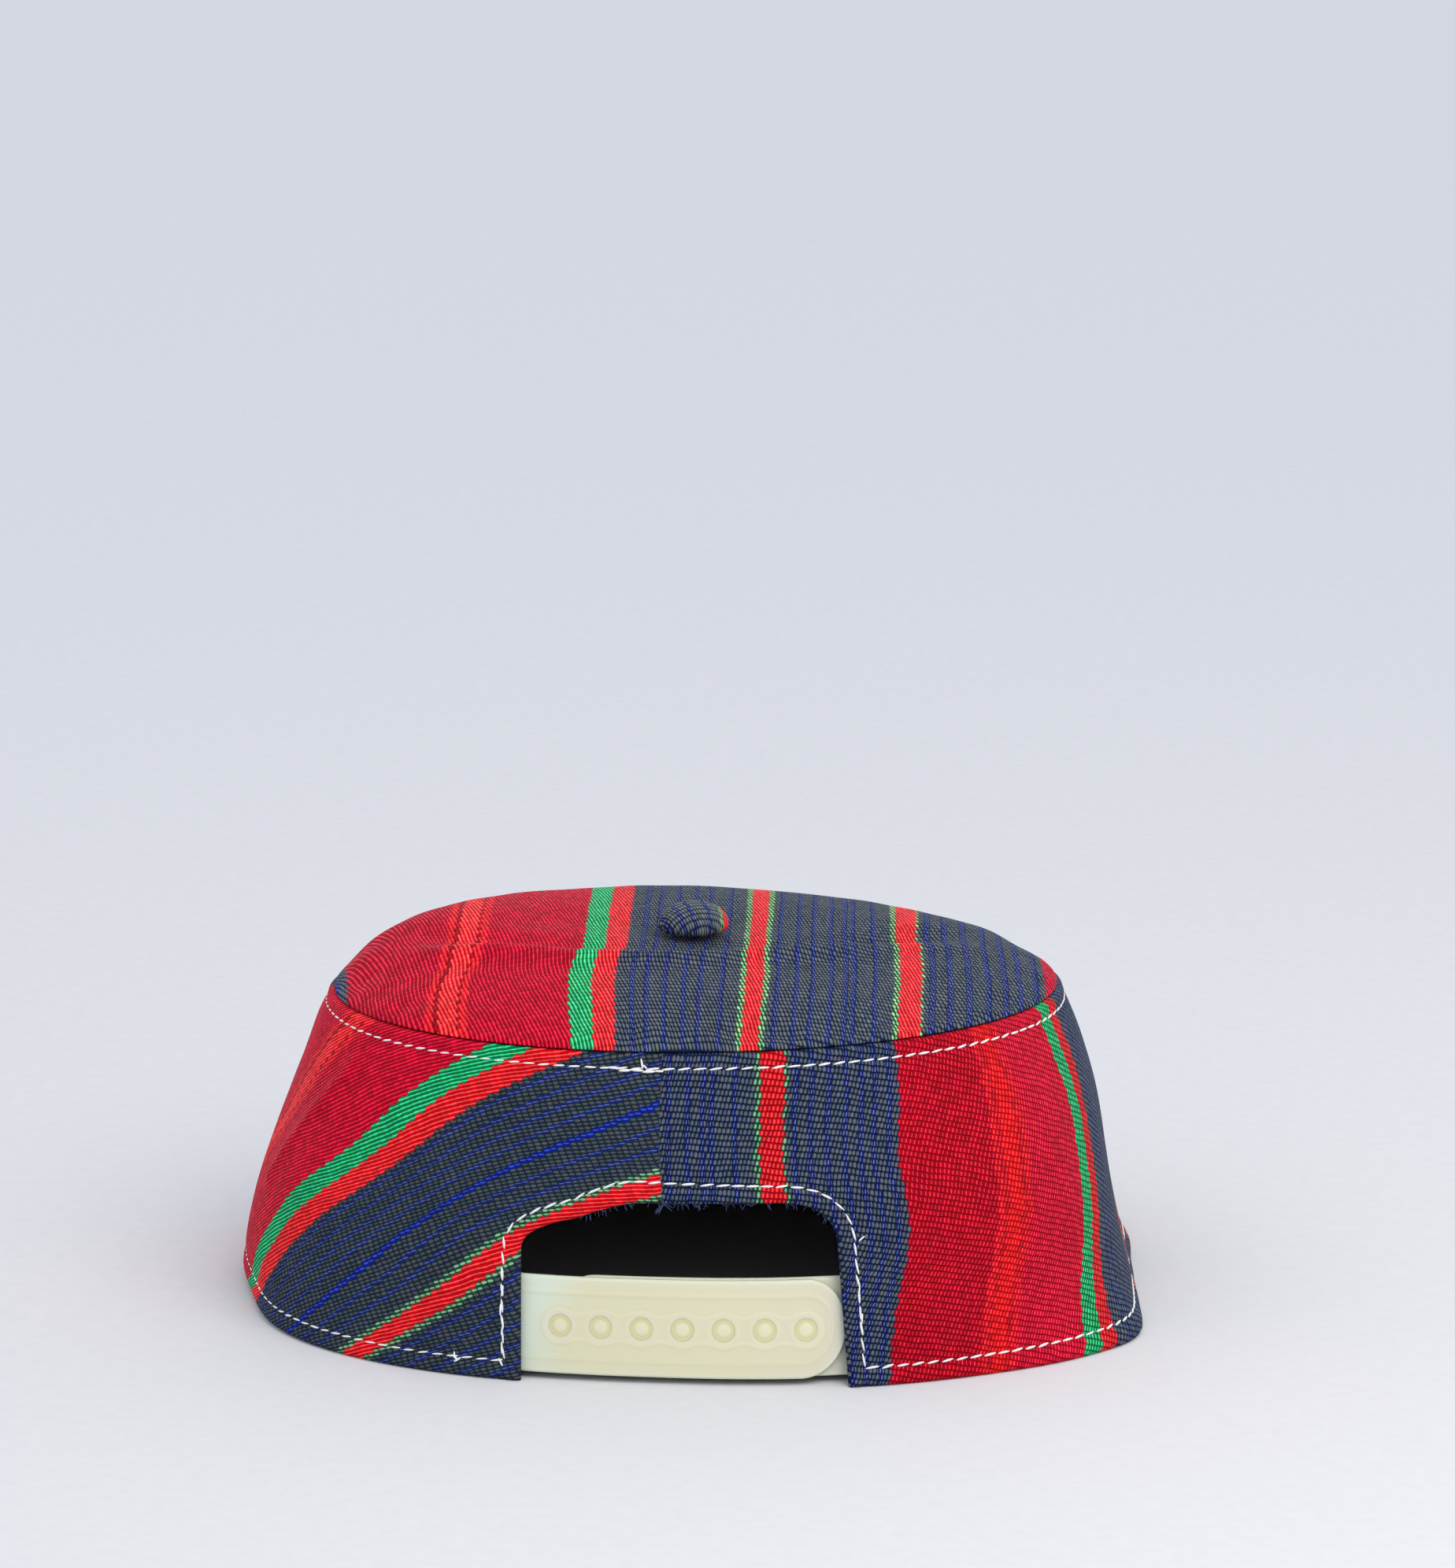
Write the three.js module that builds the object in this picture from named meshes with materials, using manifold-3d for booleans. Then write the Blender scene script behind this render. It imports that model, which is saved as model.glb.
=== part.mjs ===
// An aso oke pillbox hat with a snap strap at the back.
// Millimetres, +Z up. The origin is the middle of the rim, on the surface that the hat rests on.
// The strap opening, at the back of the hat, faces -Y, and +X is to the right seen from the back.
import * as THREE from "three";
import { ParametricGeometry } from "three/addons/geometries/ParametricGeometry.js";
import { mergeVertices } from "three/addons/utils/BufferGeometryUtils.js";
import Module from "manifold-3d";

const wasm = await Module();
wasm.setup();

// Outlines seen from above: squared ovals of half width, half depth, squareness and turn in degrees.
const RIM = { halfWidth: 93.2, halfDepth: 83.9, squareness: 2.42, turn: -7 };
const CROWN = { halfWidth: 74.3, halfDepth: 58.5, squareness: 2.03, turn: 4 };

// Side band: its height, cloth thickness and the swell of its wall at mid height.
const BAND_HEIGHT = 60.5;
const BAND_CLOTH = 2.2;
const BAND_SWELL = 3;
// Soft forms of the wall: how far each stands out, where round the hat and up the wall, and how wide.
const SOFT_FORMS = [
  { name: "dent in the right side", out: -5, angle: 12, spread: 26, rise: 0.3, riseSpread: 0.3 },
  { name: "flare of the hem at the right", out: 2.5, angle: -24, spread: 16, rise: 0, riseSpread: 0.16 },
];
// The stretch of hem on the left that stands off the floor.
const HEM_LIFT = { height: 2, angle: 180, spread: 25 };

// The soft forms move the middle of the hat's box, and this brings it back over the origin.
const CENTRING = { x: 0.88, y: -0.62 };

// Clearance between neighbouring pieces.
const GAP = 0.33;

// Strap opening, in the back view: its sides at the hem and under the arch, and the arch's height.
const OPENING = {
  leftHem: -33.8,
  left: -33.9,
  leftShoulder: 24,
  leftCrest: 31.1,
  leftCrestAt: -23.8,
  rightHem: 29.7,
  right: 27.1,
  rightShoulder: 25,
  crest: 33.8,
  crestFrom: -11,
  crestTo: 15,
  belowHem: 5,
  leftFlatness: 1.5,
  crestEase: 4,
};
// The cutter runs from inside the hat out past the back of the rim.
const CUTTER = { from: 40, depth: 60 };

// Top panel: cloth thickness, the step that its edge stands in from the band's edge, and its dome.
const PANEL_CLOTH = 1.6;
const PANEL_EDGE_STEP = 0.6;
const PANEL_SHOULDER = 0.7;
const SEAM_ALLOWANCE = 6;
const DOME = {
  height: 9.6,
  lean: 3,
  nearPower: 3,
  farPower: 10,
  farSoftness: 1.4,
  blendFrom: -25,
  blendTo: 15,
};
// The crease across the panel in front of the button, and the hollow around the button.
const RIDGE = { height: 0.6, at: -13, spread: 5 };
const HOLLOW = { depth: 0.8, at: 5, spread: 10 };
const CREASE_FADE = { from: 0.55, to: 0.9 };

// Covered button, with its shank and the small disc that holds it inside the hat.
const BUTTON = { x: -0.6, y: 0, radius: 7.2, height: 6, edge: 1.4 };
const SHANK = { radius: 1.6, holeRadius: 2, holeDepth: 12 };
const BUTTON_DISC = { radius: 4.5, thickness: 0.8, clearance: 0.7 };

// Snap strap: two moulded plates behind the opening, one with pegs and one with holes.
const STRAP = { low: 1.3, high: 19.4, thickness: 1.3 };
const STRAP_MIDDLE = (STRAP.low + STRAP.high) / 2;
// Runs are measured round the back of the hat from its middle, and each strap runs to its free end.
const OUTER_STRAP = { from: -47, to: 28.9 };
const INNER_STRAP = { from: 43, to: -31.5 };
const STRAP_END = { round: 8, bluntness: 0.93, crowding: 1.6 };
const SNAP = { count: 7, pitch: 8.03, first: -27, holeRadius: 2.25, pegRadius: 1.4, pegProud: 0.5, cut: 4 };
const BACK = { from: -150, to: -30, steps: 480 };
const PEG_SIDES = 12;
const HOLE_SIDES = 16;

// How finely the curved forms are divided.
const AROUND = 84;
const BAND_ROWS = 7;
const DOME_RINGS = 8;
const STRAP_STEPS = 30;
const STRAP_ROWS = 4;
const CURVE_STEPS = 6;
const BUTTON_SIDES = 24;
const SEAT_RINGS = 4;

const degrees = THREE.MathUtils.degToRad;

function bell(offset, spread) {
  return Math.exp(-((offset / spread) ** 2));
}

function angleFrom(angle, centre) {
  const turn = angle - degrees(centre);
  return Math.atan2(Math.sin(turn), Math.cos(turn));
}

function signedPower(value, power) {
  return Math.sign(value) * Math.abs(value) ** power;
}

function ovalPoint(oval, angle) {
  const power = 2 / oval.squareness;
  const point = new THREE.Vector2(
    oval.halfWidth * signedPower(Math.cos(angle), power),
    oval.halfDepth * signedPower(Math.sin(angle), power),
  );
  return point.rotateAround(new THREE.Vector2(), degrees(oval.turn));
}

// A point of the band's wall: angle round the hat, rise from hem (0) to seam (1), depth inside its face.
function wallPoint(angle, rise, inset = 0) {
  const plan = ovalPoint(RIM, angle).lerp(ovalPoint(CROWN, angle), rise);
  const outward = new THREE.Vector2(plan.x / RIM.halfWidth ** 2, plan.y / RIM.halfDepth ** 2);
  let out = BAND_SWELL * Math.sin(Math.PI * rise) - inset;
  for (const form of SOFT_FORMS) {
    const share = bell(angleFrom(angle, form.angle), degrees(form.spread));
    out += form.out * share * bell(rise - form.rise, form.riseSpread);
  }
  plan.addScaledVector(outward.normalize(), out);
  const lift = HEM_LIFT.height * (1 - rise)
    * bell(angleFrom(angle, HEM_LIFT.angle), degrees(HEM_LIFT.spread));
  return new THREE.Vector3(plan.x, plan.y, BAND_HEIGHT * rise + lift);
}

// A closed surface from rings of points round the hat, each ring a function of the angle.
function ringSurface(rings) {
  const at = (u, v, target) => {
    const step = Math.round(u * AROUND) % AROUND;
    const ring = rings[Math.round(v * (rings.length - 1))];
    target.copy(ring((step / AROUND) * 2 * Math.PI));
  };
  return new ParametricGeometry(at, AROUND, rings.length - 1);
}

function solidOf(geometry) {
  const bare = geometry.clone();
  bare.deleteAttribute("normal");
  bare.deleteAttribute("uv");
  const merged = mergeVertices(bare, 1e-3);
  const vertProperties = new Float32Array(merged.attributes.position.array);
  const triVerts = new Uint32Array(merged.index.array);
  return new wasm.Manifold(new wasm.Mesh({ numProp: 3, vertProperties, triVerts }));
}

function geometryOf(solid) {
  const { vertProperties, triVerts } = solid.getMesh();
  const geometry = new THREE.BufferGeometry();
  geometry.setAttribute("position", new THREE.BufferAttribute(vertProperties, 3));
  geometry.setIndex(new THREE.BufferAttribute(triVerts, 1));
  geometry.computeVertexNormals();
  return geometry;
}

// The arched opening seen from the back, run below the hem and through the back wall alone.
function openingCutter() {
  const o = OPENING;
  const arch = new THREE.Shape();
  arch.moveTo(o.leftHem, -o.belowHem);
  arch.lineTo(o.left, o.leftShoulder);
  arch.quadraticCurveTo(o.left, o.leftCrest - o.leftFlatness, o.leftCrestAt, o.leftCrest);
  arch.quadraticCurveTo(o.crestFrom - o.crestEase, o.crest, o.crestFrom, o.crest);
  arch.lineTo(o.crestTo, o.crest);
  arch.quadraticCurveTo(o.right, o.crest, o.right, o.rightShoulder);
  arch.lineTo(o.rightHem, -o.belowHem);
  arch.closePath();
  const depth = CUTTER.depth;
  const cutter = new THREE.ExtrudeGeometry(arch, { depth, bevelEnabled: false, curveSegments: CURVE_STEPS });
  return cutter.rotateX(Math.PI / 2).translate(0, -CUTTER.from, 0);
}

function sideBand() {
  const rises = Array.from({ length: BAND_ROWS + 1 }, (_, row) => row / BAND_ROWS);
  const face = rises.map((rise) => (angle) => wallPoint(angle, rise));
  const inside = rises.map((rise) => (angle) => wallPoint(angle, rise, BAND_CLOTH)).reverse();
  const wall = ringSurface([...face, ...inside, face[0]]);
  return geometryOf(solidOf(wall).subtract(solidOf(openingCutter())));
}

// How far a point in plan lies from the middle of the top panel (0) to its edge (1).
function panelRadius(x, y) {
  const point = new THREE.Vector2(x, y).rotateAround(new THREE.Vector2(), -degrees(CROWN.turn));
  const across = Math.abs(point.x) / (CROWN.halfWidth - PANEL_EDGE_STEP);
  const along = Math.abs(point.y) / (CROWN.halfDepth - PANEL_EDGE_STEP);
  const power = CROWN.squareness;
  return Math.min(1, (across ** power + along ** power) ** (1 / power));
}

// Height of the top panel's face over its edge: rounded at the back, flatter towards the front.
function domeHeight(x, y) {
  const radius = panelRadius(x, y);
  const near = 1 - radius ** DOME.nearPower;
  const far = (1 - radius ** DOME.farPower) ** DOME.farSoftness;
  const blend = THREE.MathUtils.smoothstep(y, DOME.blendFrom, DOME.blendTo);
  const full = DOME.height - (DOME.lean * x) / CROWN.halfWidth;
  const fade = 1 - THREE.MathUtils.smoothstep(radius, CREASE_FADE.from, CREASE_FADE.to);
  const ridge = RIDGE.height * bell(y - RIDGE.at, RIDGE.spread);
  const hollow = HOLLOW.depth * bell(y - HOLLOW.at, HOLLOW.spread);
  return full * THREE.MathUtils.lerp(near, far, blend) + fade * (ridge - hollow);
}

const PANEL_FLOOR = BAND_HEIGHT + GAP;
const PANEL_FACE = PANEL_FLOOR + PANEL_SHOULDER;

// A point of the top panel: share of the way from its middle to its edge, step in from the edge,
// and drop below its upper face.
function panelPoint(angle, share, step, drop) {
  const edge = ovalPoint(CROWN, angle);
  const plan = edge.multiplyScalar(share * (1 - step / edge.length()));
  return new THREE.Vector3(plan.x, plan.y, PANEL_FACE + domeHeight(plan.x, plan.y) - drop);
}

function atHeight(point, height) {
  return point.setZ(height);
}

// A lid of cloth: its seam allowance folds down inside the band's top edge.
function topPanel() {
  const foldFace = BAND_CLOTH + GAP;
  const foldBack = foldFace + PANEL_CLOTH;
  const foldEnd = 1 - SEAM_ALLOWANCE / BAND_HEIGHT;
  const rings = Array.from({ length: DOME_RINGS + 1 }, (_, ring) => ring / DOME_RINGS);
  const shares = rings.map((ring) => Math.sin(ring * (Math.PI / 2)));
  const underside = shares.map((share) => (angle) => panelPoint(angle, share, foldBack, PANEL_CLOTH));
  const face = shares.map((share) => (angle) => panelPoint(angle, share, PANEL_EDGE_STEP, 0)).reverse();
  const fold = [
    (angle) => wallPoint(angle, foldEnd, foldBack),
    (angle) => wallPoint(angle, foldEnd, foldFace),
    (angle) => atHeight(wallPoint(angle, 1, foldFace), PANEL_FLOOR),
    (angle) => atHeight(panelPoint(angle, 1, PANEL_EDGE_STEP, 0), PANEL_FLOOR),
  ];
  const panel = solidOf(ringSurface([...underside, ...fold, ...face]));
  const hole = new THREE.CylinderGeometry(SHANK.holeRadius, SHANK.holeRadius, SHANK.holeDepth, HOLE_SIDES)
    .rotateX(Math.PI / 2)
    .translate(BUTTON.x, BUTTON.y, PANEL_FACE + DOME.height);
  return geometryOf(panel.subtract(solidOf(hole)));
}

// The highest point of the panel's face under the button, sampled on rings.
function buttonSeat() {
  let highest = 0;
  for (let ring = 0; ring <= SEAT_RINGS; ring += 1) {
    for (let step = 0; step < BUTTON_SIDES; step += 1) {
      const offset = new THREE.Vector2((BUTTON.radius * ring) / SEAT_RINGS, 0);
      offset.rotateAround(new THREE.Vector2(), (step / BUTTON_SIDES) * 2 * Math.PI);
      highest = Math.max(highest, domeHeight(BUTTON.x + offset.x, BUTTON.y + offset.y));
    }
  }
  return PANEL_FACE + highest + GAP;
}

// One turned body: domed head over the panel, shank through it and disc under it.
function topButton() {
  const seat = buttonSeat();
  const underside = PANEL_FACE + domeHeight(BUTTON.x, BUTTON.y) - PANEL_CLOTH;
  const discTop = underside - BUTTON_DISC.clearance - seat;
  const discBottom = discTop - BUTTON_DISC.thickness;
  const profile = [new THREE.Vector2(0, discBottom), new THREE.Vector2(BUTTON_DISC.radius, discBottom)];
  profile.push(new THREE.Vector2(BUTTON_DISC.radius, discTop), new THREE.Vector2(SHANK.radius, discTop));
  profile.push(new THREE.Vector2(SHANK.radius, 0), new THREE.Vector2(BUTTON.radius - BUTTON.edge, 0));
  profile.push(new THREE.Vector2(BUTTON.radius, BUTTON.edge));
  for (let step = 1; step < CURVE_STEPS; step += 1) {
    const turn = (step / CURVE_STEPS) * (Math.PI / 2);
    const rise = (BUTTON.height - BUTTON.edge) * Math.sin(turn);
    profile.push(new THREE.Vector2(BUTTON.radius * Math.cos(turn), BUTTON.edge + rise));
  }
  profile.push(new THREE.Vector2(0, BUTTON.height));
  const button = new THREE.LatheGeometry(profile, BUTTON_SIDES);
  return button.rotateX(Math.PI / 2).translate(BUTTON.x, BUTTON.y, seat);
}

// Angles round the back of the hat against the run from its middle, along the straps' middle line.
function backRuns() {
  const rows = [];
  let run = 0;
  for (let step = 0; step <= BACK.steps; step += 1) {
    const angle = degrees(THREE.MathUtils.lerp(BACK.from, BACK.to, step / BACK.steps));
    const point = wallPoint(angle, STRAP_MIDDLE / BAND_HEIGHT, BAND_CLOTH + GAP);
    if (rows.length) run += point.distanceTo(rows.at(-1).point);
    rows.push({ angle, run, point });
  }
  const middle = rows.find((row) => row.point.x >= 0).run;
  return rows.map((row) => ({ angle: row.angle, run: row.run - middle }));
}

const BACK_RUNS = backRuns();

function angleAtRun(run) {
  const next = Math.max(1, BACK_RUNS.findIndex((row) => row.run >= run));
  const before = BACK_RUNS[next - 1];
  const after = BACK_RUNS[next];
  const share = (run - before.run) / (after.run - before.run);
  return THREE.MathUtils.lerp(before.angle, after.angle, share);
}

function strapPoint(run, height, inset) {
  return wallPoint(angleAtRun(run), height / BAND_HEIGHT, inset);
}

// A strap as a plate bent to the back of the band, its face at the given depth and its free end round.
function strapPlate(strap, face) {
  const plate = new THREE.BoxGeometry(1, 1, 1, STRAP_STEPS, STRAP_ROWS, 1);
  const places = plate.attributes.position;
  const length = Math.abs(strap.to - strap.from);
  const side = Math.sign(strap.to - strap.from);
  for (let index = 0; index < places.count; index += 1) {
    const left = (0.5 - places.getX(index)) ** STRAP_END.crowding;
    const past = Math.max(0, 1 - (length * left) / STRAP_END.round);
    const narrowing = Math.sqrt(1 - STRAP_END.bluntness * past ** 2);
    const height = STRAP_MIDDLE + places.getY(index) * (STRAP.high - STRAP.low) * narrowing;
    const inset = face + (0.5 - side * places.getZ(index)) * STRAP.thickness;
    const point = strapPoint(strap.to - side * length * left, height, inset);
    places.setXYZ(index, point.x, point.y, point.z);
  }
  return solidOf(plate);
}

// A round pin square to the straps at one snap, between two depths.
function snapPin(snap, radius, sides, fromInset, toInset) {
  const run = SNAP.first + snap * SNAP.pitch;
  const along = strapPoint(run + 1, STRAP_MIDDLE, 0).sub(strapPoint(run - 1, STRAP_MIDDLE, 0));
  const up = strapPoint(run, STRAP_MIDDLE + 1, 0).sub(strapPoint(run, STRAP_MIDDLE - 1, 0));
  const outward = along.cross(up).normalize();
  const lean = Math.hypot(outward.x, outward.y);
  const length = (fromInset - toInset) * lean;
  const start = strapPoint(run, STRAP_MIDDLE, fromInset);
  const pin = new THREE.CylinderGeometry(radius, radius, length, sides);
  pin.applyQuaternion(new THREE.Quaternion().setFromUnitVectors(new THREE.Vector3(0, 1, 0), outward));
  const middle = start.addScaledVector(outward, length / 2);
  return pin.translate(middle.x, middle.y, middle.z);
}

const OUTER_FACE = BAND_CLOTH + GAP;
const INNER_FACE = OUTER_FACE + STRAP.thickness + GAP;
const SNAPS = Array.from({ length: SNAP.count }, (_, snap) => snap);

function outerStrap() {
  const [from, to] = [OUTER_FACE + SNAP.cut, OUTER_FACE - SNAP.cut];
  const holes = SNAPS.map((snap) => solidOf(snapPin(snap, SNAP.holeRadius, HOLE_SIDES, from, to)));
  return geometryOf(holes.reduce((plate, hole) => plate.subtract(hole), strapPlate(OUTER_STRAP, OUTER_FACE)));
}

function innerStrap() {
  const [from, to] = [INNER_FACE + STRAP.thickness / 2, OUTER_FACE - SNAP.pegProud];
  const pegs = SNAPS.map((snap) => solidOf(snapPin(snap, SNAP.pegRadius, PEG_SIDES, from, to)));
  return geometryOf(pegs.reduce((plate, peg) => plate.add(peg), strapPlate(INNER_STRAP, INNER_FACE)));
}

function clothMaterial(color) {
  return new THREE.MeshStandardMaterial({ color, roughness: 0.9, metalness: 0 });
}

function snapMaterial() {
  return new THREE.MeshStandardMaterial({ color: 0xecefd8, roughness: 0.4, metalness: 0 });
}

function piece(name, geometry, material) {
  const mesh = new THREE.Mesh(geometry, material);
  mesh.name = name;
  return mesh;
}

const hat = new THREE.Group();
hat.position.set(CENTRING.x, CENTRING.y, 0);
hat.add(piece("side_band", sideBand(), clothMaterial(0x8e1a30)));
hat.add(piece("top_panel", topPanel(), clothMaterial(0x2b3040)));
hat.add(piece("top_button", topButton(), clothMaterial(0x20283c)));
hat.add(piece("strap_outer", outerStrap(), snapMaterial()));
hat.add(piece("strap_inner", innerStrap(), snapMaterial()));

export default hat;
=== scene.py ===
# An aso oke pillbox hat with a snap strap at its back, resting on its rim and seen from the back.
# Shapes are worked out in millimetres round the middle of the rim, and placed in metres.
import math
import random
from functools import partial
from types import SimpleNamespace as Sizes

import bmesh
import bpy
from mathutils import Matrix, Vector, noise


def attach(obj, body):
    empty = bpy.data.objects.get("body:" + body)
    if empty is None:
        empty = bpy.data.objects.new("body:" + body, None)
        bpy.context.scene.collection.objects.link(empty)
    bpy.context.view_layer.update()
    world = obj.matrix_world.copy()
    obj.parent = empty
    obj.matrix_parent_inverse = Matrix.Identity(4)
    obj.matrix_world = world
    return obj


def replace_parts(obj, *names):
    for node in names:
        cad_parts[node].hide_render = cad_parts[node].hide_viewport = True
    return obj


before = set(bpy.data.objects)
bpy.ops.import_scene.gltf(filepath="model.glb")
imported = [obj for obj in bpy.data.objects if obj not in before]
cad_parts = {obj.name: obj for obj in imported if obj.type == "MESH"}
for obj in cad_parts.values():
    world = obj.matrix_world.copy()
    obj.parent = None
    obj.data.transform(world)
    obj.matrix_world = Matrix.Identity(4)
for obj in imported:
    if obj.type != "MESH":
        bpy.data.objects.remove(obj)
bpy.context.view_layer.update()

METRES = 0.001
TURN = 2 * math.pi


def table(columns, *rows):
    """Rows of numbers, each number under the name of its column."""
    return [Sizes(**dict(zip(columns.split(), row))) for row in rows]


# The hat's wall, as in the frame: ovals at rim and crown, height, swell and soft forms.
RIM = Sizes(half_width=93.2, half_depth=83.9, squareness=2.42, turn=-7)
CROWN = Sizes(half_width=74.3, half_depth=58.5, squareness=2.03, turn=4)
BAND_HEIGHT = 60.5
BAND_CLOTH = 2.2
BAND_SWELL = 3
# The first two soft forms are the frame's own, and only the cloth has the smaller ones after them.
SOFT_FORMS = table(
    "out angle spread rise rise_spread",
    (-5, 12, 26, 0.3, 0.3),
    (2.5, -24, 16, 0, 0.16),
    (2, -32, 13, 0, 0.1),
    (1.2, -153, 10, 0.5, 0.12),
    (-1.3, -168, 12, 0.62, 0.2),
    (-1.2, -10, 16, 0.62, 0.2),
    (-2.2, 5, 11, 0, 0.2),
    (3, -21, 8, 0, 0.09),
    (0.5, -42, 13, 0, 0.1),
    (-2, -161, 12, 0, 0.13),
)
HEM_LIFT = Sizes(height=2, angle=180, spread=25)
CENTRING = Vector((0.88, -0.62, 0))
GAP = 0.33
# Length of the leaning wall from hem to seam, and the girth at hem and seam.
WALL_RUN = 64.5
HEM_GIRTH = 567
SEAM_GIRTH = 420

# The strap opening in the back view, close to the frame's own.
OPENING = Sizes(
    left_hem=-34.6,
    left=-34.7,
    left_shoulder=24.4,
    left_crest=30.6,
    left_crest_at=-23.8,
    left_flatness=2.2,
    crest=33.8,
    crest_from=-11,
    crest_to=15,
    crest_ease=4,
    right_hem=30.2,
    right=27.9,
    right_shoulder=25,
    below_hem=5,
)
CORNER_STEPS = 14

# Top panel and its dome, as in the frame.
PANEL_CLOTH = 1.6
PANEL_EDGE_STEP = 0.6
PANEL_SHOULDER = 0.7
SEAM_ALLOWANCE = 6
PANEL_FLOOR = BAND_HEIGHT + GAP
PANEL_FACE = PANEL_FLOOR + PANEL_SHOULDER
DOME = Sizes(
    height=9.6,
    lean=3,
    near_power=3,
    far_power=10,
    far_softness=1.4,
    blend_from=-25,
    blend_to=15,
)
RIDGE = Sizes(height=0.6, at=-13, spread=5)
HOLLOW = Sizes(depth=0.8, at=5, spread=10)
CREASE_FADE = Sizes(start=0.55, end=0.9)
# The cloth's own crest in front of the button, as x and y along it (mm), and the dip behind it.
CREST_LINE = [(-60, -8), (-45, -15), (-25, -21), (-10, -22.5), (5, -20), (20, -15), (35, -7.5), (55, 1)]
CREST = Sizes(height=1.9, spread=4, dip=1.9, dip_after=9, dip_spread=6.5, reach=40, fade=24)
PUCKER = Sizes(grain=9, length=9, height=0.9, at=3.5, spread=4)
# How far inside the panel's edge its dents and its crest reach their full height.
PANEL_EASE = Sizes(dents=5, crest=1.5)

# Covered button with its shank and inner disc, as in the frame.
BUTTON = Sizes(x=-0.6, y=0, radius=7.2, height=6, edge=1.4)
SHANK = Sizes(radius=1.6, seat=1)
BUTTON_DISC = Sizes(radius=4.5, thickness=0.8, clearance=0.7)

# Snap straps, as in the frame.
STRAP = Sizes(low=1.3, high=19.4, thickness=1.3)
STRAP_MIDDLE = (STRAP.low + STRAP.high) / 2
OUTER_STRAP = Sizes(start=-47, end=28.9)
INNER_STRAP = Sizes(start=43, end=-31.5)
STRAP_END = Sizes(round=8, bluntness=0.93, crowding=1.6)
SNAP = Sizes(count=7, pitch=8.03, first=-27, hole_radius=2.25)
OUTER_FACE = BAND_CLOTH + GAP
INNER_FACE = OUTER_FACE + STRAP.thickness + GAP
BACK = Sizes(start=-150, end=-30, steps=480)

# How the band is cut: two fan-shaped pieces that meet at a seam at the back and one at the front.
BACK_SEAM_X = -6.6
CUT = Sizes(radius=249, taper=64, sweep=65.5)
LEFT_STRIPES_FROM = -105.2
# Across the right piece from the back seam (mm), and the stripe that lies there (mm in the repeat).
RIGHT_STRIPES = [
    (-12, 83.7), (18, 113.7), (24, 119.7), (46, 142), (65, 160), (73, 168.5), (88.5, 188.5),
    (92.4, 193.3), (96, 197.7), (300, 401.7),
]
PANEL_STRIPES_FROM = 72.7
# How far the panel's stripes are pulled to the right (mm): a depth, then the pull at five places.
PANEL_PULLS = [
    (-54, 3, 1.5, -2.4, -2.7, 2), (-38, 3, 0.6, -1.3, -2.2, 2), (-30, 3, 0.7, -0.8, -1.8, 2),
    (-25, 2.9, 1.4, -0.7, -1.5, 2), (-20, 2.7, 2.7, -0.8, -1.3, 2), (-7, 1.6, 3.5, -0.4, -1.2, 2),
    (9, -0.2, 3.9, 0.3, -1.7, 2), (17, -1, 4.1, 0.6, -1.4, 2), (33, -1.5, 4.7, 1.1, -1, 2),
]
PULLED_AT = (-74, -24, 14, 45, 74)
# Left of this the first pull eases in.
PULLED_EVENLY_FROM = -62
# Where sewing and wear have pulled the stripes: share round the hat, rise, and how far (mm).
PULLS = table(
    "share rise by",
    (0.21, 0.96, -4.2), (0.21, 0.72, 2.7), (0.19, 0.52, 3), (0.18, 0.33, 2.6), (0.17, 0.15, 3),
    (0.16, 0.01, -7), (0.125, 0.03, -6.5), (0.13, 0.22, -4), (0.1, 0.9, 1.8), (0.095, 0.65, -1.2),
    (0.095, 0.44, 2.4), (0.08, 0.15, -1.2), (0.08, 0.01, -2.6), (0.045, 0.75, -0.9), (0.82, 0.02, 5),
    (0.82, 0.22, 1), (0.88, 0.01, 2), (0.89, 0.86, -2.6), (0.87, 0.6, 2), (0.92, 0.24, 2),
    (0.935, 0.44, -3.4), (0.963, 0.54, -3.4), (0.995, 0.6, 1),
)
PULL_REACH = Sizes(share=0.045, rise=0.17, ease=0.35)

# How edges turn over, where stitch lines run inside them, and how wide the hem is turned in.
EDGE_ROUND = BAND_CLOTH / 2
TURN_ANGLES = (0, 22.5, 45, 67.5, 90)
SEAM_STITCH = 2.9
HEM_STITCH = 3.8
OPENING_STITCH = Sizes(inside=3.1, further=0.9, at=-13, spread=11, corner_height=3)
TURNED_IN = 9
STITCH_GROOVE = Sizes(depth=0.4, spread=0.6)
EDGE_PUFF = Sizes(height=0.25, at=0.45, spread=0.35)
SEAM_GROOVE = Sizes(depth=0.55, spread=0.5, puff=0.2, puff_at=1.6, puff_spread=1)
# The part of the back view where the opening's edge may be near.
NEAR_OPENING = Sizes(reach=48, rise=0.85)
FAR_AWAY = 1e3
# Wrinkles of the cloth: grain and height.
BAND_WRINKLES = ((26, 0.7), (9, 0.22))
PANEL_WRINKLES = ((24, 0.5), (8, 0.14))
# How far inside the band's edges its dents and its stitched relief reach their full height.
BAND_EASE = Sizes(dents=8, face=1)

# How finely the cloth is divided.
BAND_STEP = 1.12
ARCH_STEP = 0.9
ARC_LEVELS = 20
ARC_STEPS = 720
PANEL_AROUND = 300
PANEL_RINGS = Sizes(under=34, face=70, last_under=0.9995)
BUTTON_AROUND = 64
BUTTON_STEPS = Sizes(edge=8, crown=16)


def lerp(start, end, share):
    return start + (end - start) * share


def clamp(value):
    return min(1.0, max(0.0, value))


def bell(offset, spread):
    return math.exp(-((offset / spread) ** 2))


def smoothstep(value, low, high):
    share = clamp((value - low) / (high - low))
    return share * share * (3 - 2 * share)


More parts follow.
